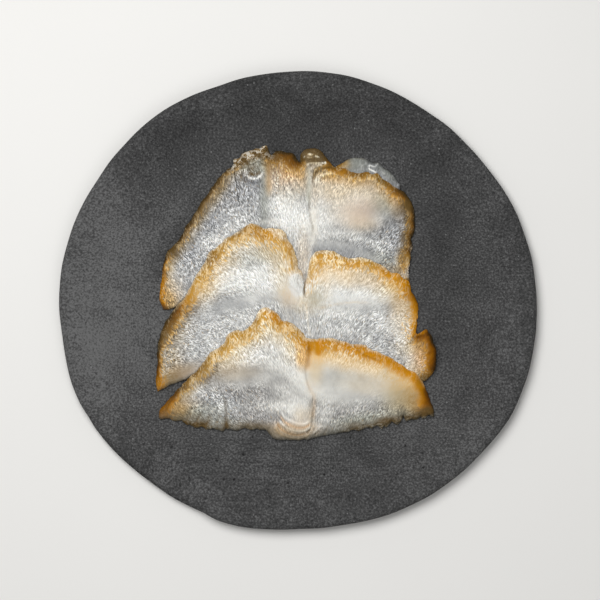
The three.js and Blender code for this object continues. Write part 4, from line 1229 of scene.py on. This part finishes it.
frontSlice = {
    "rear": {
        "left": [
            (-81.4, -68.6), (-81, -65.6), (-79.8, -62.8), (-77.8, -60.3), (-75.5, -57.9), (-71.6, -53.9),
            (-67.5, -49.5), (-63, -44.5), (-57.5, -40), (-55, -36), (-52, -31.5), (-46.5, -27.5),
            (-42.5, -24.5), (-41.5, -21), (-38.5, -18.5), (-35.5, -17), (-32, -18), (-28, -14.8),
            (-25.2, -10.6), (-23.4, -7), (-21, -5), (-18, -4.5), (-15, -5.3), (-12.4, -7.4), (-10.4, -10),
            (-8.8, -11.8), (-6, -12), (-2.5, -14.3), (1, -16.8), (4.5, -21.3),
        ],
        "right": [
            (4.5, -21.5), (7.5, -22.5), (10, -22.5), (15.5, -22), (21, -22.5), (27, -24), (33, -25.5),
            (38.5, -26), (42.5, -28.5), (46.5, -30), (52.5, -32.5), (58, -36), (63, -39.5), (68.5, -42.5),
            (72, -46.7), (75.2, -52.7), (77.5, -58), (79.6, -64.4),
        ],
    },
    "front": {
        "left": [
            (-80.4, -69.7), (-77, -69.4), (-69.2, -71), (-65.6, -72.4), (-60.8, -74.6), (-53.1, -75.4),
            (-42.4, -76), (-35.8, -75.8), (-26.8, -75.2), (-20.5, -75.8), (-17.6, -77.4), (-15.3, -79.6),
            (-12.5, -81.2), (-2.9, -81.6), (6, -81.3),
        ],
        "right": [
            (6, -81.3), (12.9, -79.7), (22.9, -78.2), (36.9, -75.2), (49, -74), (57.6, -72.8),
            (65, -71.2), (72, -69.8), (79.7, -68),
        ],
    },
    "crumbly": [
        (-60, -74.5, 16, 4, 1.4, -8), (-28, -76, 10, 3, 0.8), (36, -76, 14, 3, 1, 8),
        (62, -71.5, 18, 4, 1.7, 10), (4, -82, 14, 2, 0.3),
    ],
    "bites": [
        (-50, 0.8, 0.9), (-42, 0.7, 1.6), (-62, 0.9, 1), (-68, 0.7, 0.8), (-56, 0.6, 0.9),
        (45.9, 0.9, 1.8), (54.9, 1.1, 2.4), (61.6, 1, 4.8), (66.5, 0.6, 1.2), (71.7, 1.3, 2.8),
        (76.6, 0.8, 1.4), (50.5, 0.6, 1),
    ],
    "swells": [(-20, -12, 9, 9, 0.8), (-4, -76, 12, 5, 0.5)],
    "lean": 0.5,
    "bow": 3,
    "lap": {
        "high": 1, "wide": 12,
        "path": [
            (3.7, -35.9), (4.6, -43.7), (5.6, -48.6), (7.1, -52.9), (8.8, -55.9), (8.2, -59.3),
            (9, -61.7), (8.5, -66.1), (8.1, -70.5), (7.1, -74.9), (4.6, -77.3),
        ],
    },
    "fibre": {"contrast": 1.65, "tinge": 0.8, "sheerAndShade": 0.75, "sheerAndShadeWide": 7},
    "base": {
        "pale": 0.15, "cover": 0.5, "warm": 0.05, "rindWide": 6, "rindDark": 0.2, "orange": 0.2,
        "thinned": 1,
    },
    "strokes": [
        stroke(1.3, 0.7, [(6.4, -23), (6.4, -30), (5.8, -37), (5, -43)], fade=0.3, rindDark=(0.6, 1.3),
            pink=(0.5, 1.6), rindWide=(4.5, 1.8), orange=(0.9, 2), stain=(0.12, 1)),
        stroke(1, -0.2, [(23.5, -30), (26, -31.6), (29, -32.2)], pale=(0.45, 0.8), rindWide=(-2.5, 0.9)),
        stroke(0.8, -0.2, [(30.6, -30.8), (32.4, -31.6), (35.6, -35)], pale=(0.35, 0.8),
            rindWide=(-2, 0.8)),
        stroke(0.7, 0.3, [(30.5, -25.8), (33.5, -27.6), (37.1, -31.2), (43.4, -33.6), (52, -37)],
            stain=(0.25, 0.7), orange=(0.5, 1), rindWide=(3, 1.2)),
        stroke(1.2, 0.15, [(12.6, -23), (12.4, -28), (11.4, -33)], orange=(0.8, 1.8), rindWide=(4, 1.8),
            smooth=(0.3, 2)),
        stroke(0.9, 0.4, [(-73.6, -57.6), (-76, -61.4), (-77.4, -64.6), (-78.8, -67.4)],
            pink=(0.8, 1.1), orange=(0.8, 1.2), stain=(0.35, 0.9)),
        stroke(1, 0.7, [(-41.5, -75.5), (-41.9, -68), (-42.3, -56)], stain=(0.5, 0.8)),
        stroke(0.8, 0.5, [(-67, -73.5), (-63.5, -68), (-61, -62)], stain=(0.3, 0.7)),
        stroke(0.8, 0.5, [(-61.5, -75), (-58.5, -69.5), (-56.5, -64)], stain=(0.3, 0.7)),
        stroke(0.8, 0.6, [(-55, -76), (-52.8, -71), (-51.6, -66)], stain=(0.4, 0.7)),
        stroke(0.9, -0.5, [(-50.5, -76), (-49.4, -72), (-48.6, -67)], pale=(0.5, 0.8), stain=(-0.3, 0.8)),
        stroke(0.7, 0.5, [(-47.5, -76), (-46.6, -71), (-46.2, -66)], stain=(0.3, 0.6)),
        stroke(0.6, 0.5, [(14.6, -79.4), (16.6, -75.6), (18, -72.4)], stain=(0.3, 0.6)),
        stroke(0.55, -0.4, [(-10.1, -63.6), (-8.2, -67.6), (-3.5, -70.7), (1.2, -72.3), (4.4, -71.9),
            (7.5, -69.9)], pale=(0.6, 0.6), smooth=(0.4, 1.2)),
        stroke(0.55, -0.45, [(-11.3, -68.3), (-9, -72.3), (-4.3, -75.4), (1.2, -76.6), (5.9, -75.4),
            (8.3, -72.3)], pale=(0.6, 0.6), pink=(-0.4, 0.6)),
        stroke(0.5, 0.35, [(-10.7, -66), (-8.6, -70.1), (-3.9, -73.2), (1.2, -74.5), (5.1, -73.7),
            (7.9, -71.3)], pink=(0.6, 0.6), smoky=(0.3, 0.7)),
        stroke(0.6, 0.45, [(-12.5, -70.5), (-10.1, -74.8), (-5.4, -77.7), (0.5, -78.8), (5.5, -77.4)],
            pink=(0.7, 0.7), smoky=(0.5, 0.8), stain=(0.12, 0.6)),
        stroke(0.6, -0.5, [(-13.7, -72.3), (-11.3, -77), (-6.6, -79.7), (-0.3, -80.9), (5.1, -79.3),
            (7.5, -77)], pale=(0.3, 0.6), warm=(0.3, 0.9), smoky=(0.3, 0.9)),
        stroke(0.8, -0.1, [(4.6, -45), (5.9, -48.6), (7.5, -52.9), (9.3, -56), (9.4, -61.7),
            (8.9, -66.1), (8.5, -70.5)], pink=(0.25, 1.2), smoky=(0.15, 1.4)),
        stroke(0.6, 0.7, [(5.1, -77.6), (7.2, -75.3)], stain=(0.7, 0.6)),
        stroke(0.6, -0.4, [(8.5, -78.2), (11.9, -75.1), (13.7, -73)], pale=(0.4, 0.6)),
        stroke(0.6, 0.5, [(9.6, -79), (12.8, -76.2)], stain=(0.4, 0.6)),
    ],
    "paint": {
        "pale": [
            (-18.5, -10, 5, 3, 0.35, -20), (-20, -26, 9, 6, -0.15), (-18, -28, 18, 9, 0.1, -10),
            (30, -37, 20, 4, 0.34, -12), (-49, -39, 4, 3.5, -0.4, 45), (-49, -40, 3, 3, -0.3),
            (-20, -42, 10, 4, 0.1), (30, -44, 28, 8, -0.1, -8), (-38, -45, 18, 4, -0.12, 6),
            (-34, -46, 20, 7, 0.25, 6), (-12, -50, 12, 10, 0.2), (3, -50, 5, 8, -0.1),
            (-63, -53, 8, 6, 0.4, 45), (-20, -55, 8, 5, -0.15), (-38, -56, 12, 5, -0.12),
            (30, -57, 24, 4, -0.12), (1, -58, 8, 16, 0.5), (-62, -60, 6, 4, -0.2),
            (-40, -62, 20, 8, 0.14), (28, -62, 16, 6, 0.12), (-10, -62, 11, 3.5, 0.2),
            (62, -62, 8, 4, -0.3, 12), (-10, -63, 9, 5, 0.25), (28, -64, 18, 6, 0.05),
            (-44, -64, 2.2, 7, 0.3), (16, -65, 6, 4, 0.35), (-60, -65, 5, 3.5, -0.4),
            (-56, -66, 10, 5, 0.15, 10), (-54, -67, 6, 3, -0.4), (2, -67, 5, 4, -0.12),
            (27, -68, 9, 3, -0.15), (-36, -69, 24, 4, -0.28), (24, -69, 5, 3, -0.2), (15, -71, 6, 3, 0.3),
            (5, -74, 6, 6, 0.2),
        ],
        "warm": [
            (30, -36, 24, 6, 0.36, -12), (10, -38, 5, 12, 0.5), (-36, -42, 14, 5, 0.2, 6),
            (40, -50, 16, 5, 0.25, -10), (62, -54, 10, 12, 0.75, -30), (-66, -62, 10, 5, 0.2, 20),
            (-49, -62, 12, 6, -0.22), (-52, -63, 12, 5, 0.2), (-60, -66, 6, 4, -0.2),
            (2, -67, 5, 5, 0.25), (-4, -76, 14, 4, 0.4),
        ],
        "pink": [(2, -32, 3.5, 7, 0.7), (75, -63, 6, 6, 0.9), (-4, -76, 14, 5, 0.6)],
        "green": [
            (28, -46, 24, 8, 0.15, -6), (60, -58, 12, 10, 0.45, -20), (-52, -64, 12, 5, 0.3),
            (-61, -66, 6, 4, 0.25), (40, -70, 22, 5, 0.5, 8), (-50, -71, 18, 3.5, 0.3),
            (-5, -77, 13, 4, 0.25),
        ],
        "stain": [
            (72, -46, 3, 4, 0.4), (-68, -52, 3, 10, 0.25, -45), (62, -54, 9, 8, 0.08, -30),
            (62, -62, 8, 3.5, 0.15, 12), (76.4, -62.6, 2.6, 4, 0.25, -20), (70, -63.6, 5, 1.6, 0.4, 15),
            (-76, -64, 4, 3, 0.22, 40), (75.6, -65, 4, 2.2, 1.3, 10), (70, -67, 10, 2.4, 0.4, 12),
            (69, -67.5, 8, 2, 0.5, 14), (57, -69, 4, 2.4, 0.2, 8), (53, -70, 7, 3, 0.35, 8),
            (-62, -70, 14, 4.5, 0.3, -14), (-54, -70, 6, 3.5, 0.2), (49, -70, 7, 2.5, 0.25, 8),
            (50, -71, 6, 3, 0.4, 6), (-24, -71, 8, 2.5, 0.15), (-66.5, -71.8, 4, 1.3, 0.9, -12),
            (-56, -72, 4, 2, 0.3), (30, -73, 10, 2.5, 0.2, 5), (-26, -73, 12, 2, 0.15),
            (-60.3, -73.2, 2.4, 1.5, 0.9), (-55.3, -73.4, 1.8, 1.6, 0.8), (34, -73.5, 7, 2.6, 0.4, 6),
            (-42, -74, 2.5, 4, 0.7), (-27, -74, 8, 2.5, 0.3), (-6, -76, 12, 4, 0.2),
            (-14, -77.5, 6, 3, 0.25, -20),
        ],
        "smoky": [
            (-20, -9, 4, 4, -0.3), (-12, -10, 4, 3, 0.15, -40), (-33, -24, 9, 4, 0.2, 20),
            (-24, -29, 10, 6, -0.2), (0, -29, 3, 4, -0.2), (14, -31, 6, 3, 0.3), (2, -31, 2.5, 6, 0.4),
            (2, -34, 3, 7, 0.6), (52, -35, 14, 4, 0.2, -25), (60, -43, 14, 5, 0.1, -30),
            (-50, -47, 9, 6, -0.35, 45), (70, -50, 6, 8, 0.15, -30), (-58, -55, 8, 5, -0.25, 45),
            (-74, -60, 4, 6, 0.4, 45), (70, -62, 9, 6, 0.2, -20), (76.4, -62.6, 3, 4, 0.4, -20),
            (74, -63, 7, 5, 0.6, 10), (-76, -64, 5, 4, 0.3, 40), (-70, -66, 12, 6, 0.5, -10),
            (-77, -67, 6, 3, 0.5), (78, -67, 4, 3, 0.5), (-75, -67.5, 7, 2.5, 0.5, 5),
            (8, -68, 2.5, 8, 0.3), (-30, -74, 12, 2.5, 0.35),
        ],
        "smooth": [
            (-20, -9, 8, 7, -0.6), (30, -27, 16, 4, -0.3, -10), (9, -28, 4, 8, 0.5),
            (-1, -30, 6, 9, -0.5), (52, -37, 22, 6, 0.4, -22), (11, -42, 8, 14, 0.9),
            (-30, -44, 22, 6, 0.9, 6), (32, -47, 30, 10, 0.95, -8), (74, -50, 5, 12, 0.5, -25),
            (-12, -52, 8, 8, 0.4), (60, -52, 12, 10, 0.65, -30), (-44, -56, 10, 8, -0.25),
            (26, -56, 14, 4, 0.6), (76, -58, 8, 12, 0.5), (-70, -58, 10, 6, 0.3, 45),
            (-76, -60, 6, 8, 0.15, 40), (1, -62, 7, 16, 0.6),
        ],
        "rindWide": [
            (-18, -8, 8, 6, 1.2), (-20, -9, 4, 4, 0.5), (-13, -11, 5, 5, 4, -40),
            (-4, -18, 8, 6, 1.5, -30), (-34, -22, 10, 6, 1.2, 20), (-2, -24, 5, 7, 1.2, 10),
            (14, -25, 9, 8, 1.6), (15, -28, 9, 6, 1.4), (34, -30, 30, 10, 2.1, -14),
            (62, -43, 8, 5, -1, -35), (-66, -54, 12, 16, -1.8, 42), (78, -62, 7, 7, 4),
            (-77, -68, 6, 4, 3),
        ],
        "rindDark": [
            (-20, -9, 4, 4, -0.35), (-25, -11, 3, 3, 0.3), (-62, -46, 18, 14, 0.55, 45),
            (77, -54, 4, 10, 0.35, -20), (80, -66, 5, 6, 1.4), (74, -66, 6, 3, 1.1, 10),
        ],
        "orange": [
            (-12, -9, 5, 4, 0.45, -40), (-14, -9, 6, 4, 0.5, -30), (-6, -16, 6, 5, 0.3, -30),
            (12, -26, 5, 7, 0.3), (29, -28, 16, 6, 0.75, -12), (3, -28, 5, 8, 0.6), (3, -32, 3, 6, 0.4),
            (58, -38, 24, 9, 0.85, -28), (-62, -46, 20, 10, -0.35, 45), (76, -58, 9, 14, 1.3),
            (-73, -58, 6, 6, 0.7, 45), (-76, -66, 8, 5, 1.5),
        ],
        "thinned": [
            (-20, -7, 5, 5, 0.4), (20, -24, 14, 4, 0.3, -5), (60, -40, 14, 8, -0.6, -35),
            (-64, -47, 16, 10, -0.6, 45),
        ],
    },
}
makeSlice("slice_front", "front_slice", frontSlice, field, bareField)

# The floor, the lights and the camera

studio = {
    "floor": tint(226, 225, 222),
    "floorRoughness": 0.8,
    "floorReach": 1.5,
    "world": tint(207, 207, 207),
    "worldStrength": 0.34,
    "key": {"at": (-0.3, 0.42, 1.05), "size": 0.8, "watts": 12.2},
    "fill": {"at": (0.3, -0.6, 1.0), "size": 0.9, "watts": 2.5},
}


def makeFloor():
    bm = bmesh.new()
    bmesh.ops.create_grid(bm, x_segments=4, y_segments=4, size=studio["floorReach"])
    mesh = bpy.data.meshes.new("floor")
    bm.to_mesh(mesh)
    bm.free()
    material, tree, shader = newMaterial("paleFloor")
    place = addNode(tree, "ShaderNodeTexCoord").outputs["Object"]
    faint = noiseAt(tree, place, 6.0, 2.0)
    lighter = tuple(min(1, c * 1.04) for c in studio["floor"][:3]) + (1,)
    tree.links.new(mixColours(tree, faint, studio["floor"], lighter), shader["Base Color"])
    shader["Roughness"].default_value = studio["floorRoughness"]
    mesh.materials.append(material)
    floor = bpy.data.objects.new("floor", mesh)
    bpy.context.scene.collection.objects.link(floor)


def makeLight(name, light):
    lamp = bpy.data.lights.new(name, "AREA")
    lamp.shape = "DISK"
    lamp.size = light["size"]
    lamp.energy = light["watts"]
    piece = bpy.data.objects.new(name, lamp)
    piece.location = light["at"]
    piece.rotation_euler = (-Vector(light["at"])).to_track_quat("-Z", "Y").to_euler()
    bpy.context.scene.collection.objects.link(piece)


def makeCamera():
    lens = bpy.data.cameras.new("camera")
    lens.sensor_width = view["sensor"]
    lens.lens = view["sensor"] * (view["height"] - plate["top"]) / view["width"]
    camera = bpy.data.objects.new("camera", lens)
    camera.location = (view["middle"][0] * mm, view["middle"][1] * mm, view["height"] * mm)
    bpy.context.scene.collection.objects.link(camera)
    bpy.context.scene.camera = camera


makeFloor()
makeLight("keyLight", studio["key"])
makeLight("fillLight", studio["fill"])
makeCamera()
world = bpy.data.worlds.new("studio")
world.use_nodes = True
sky = world.node_tree.nodes["Background"]
sky.inputs["Color"].default_value = studio["world"]
sky.inputs["Strength"].default_value = studio["worldStrength"]
bpy.context.scene.world = world
bpy.context.scene.view_settings.view_transform = "Standard"
print("studio made")
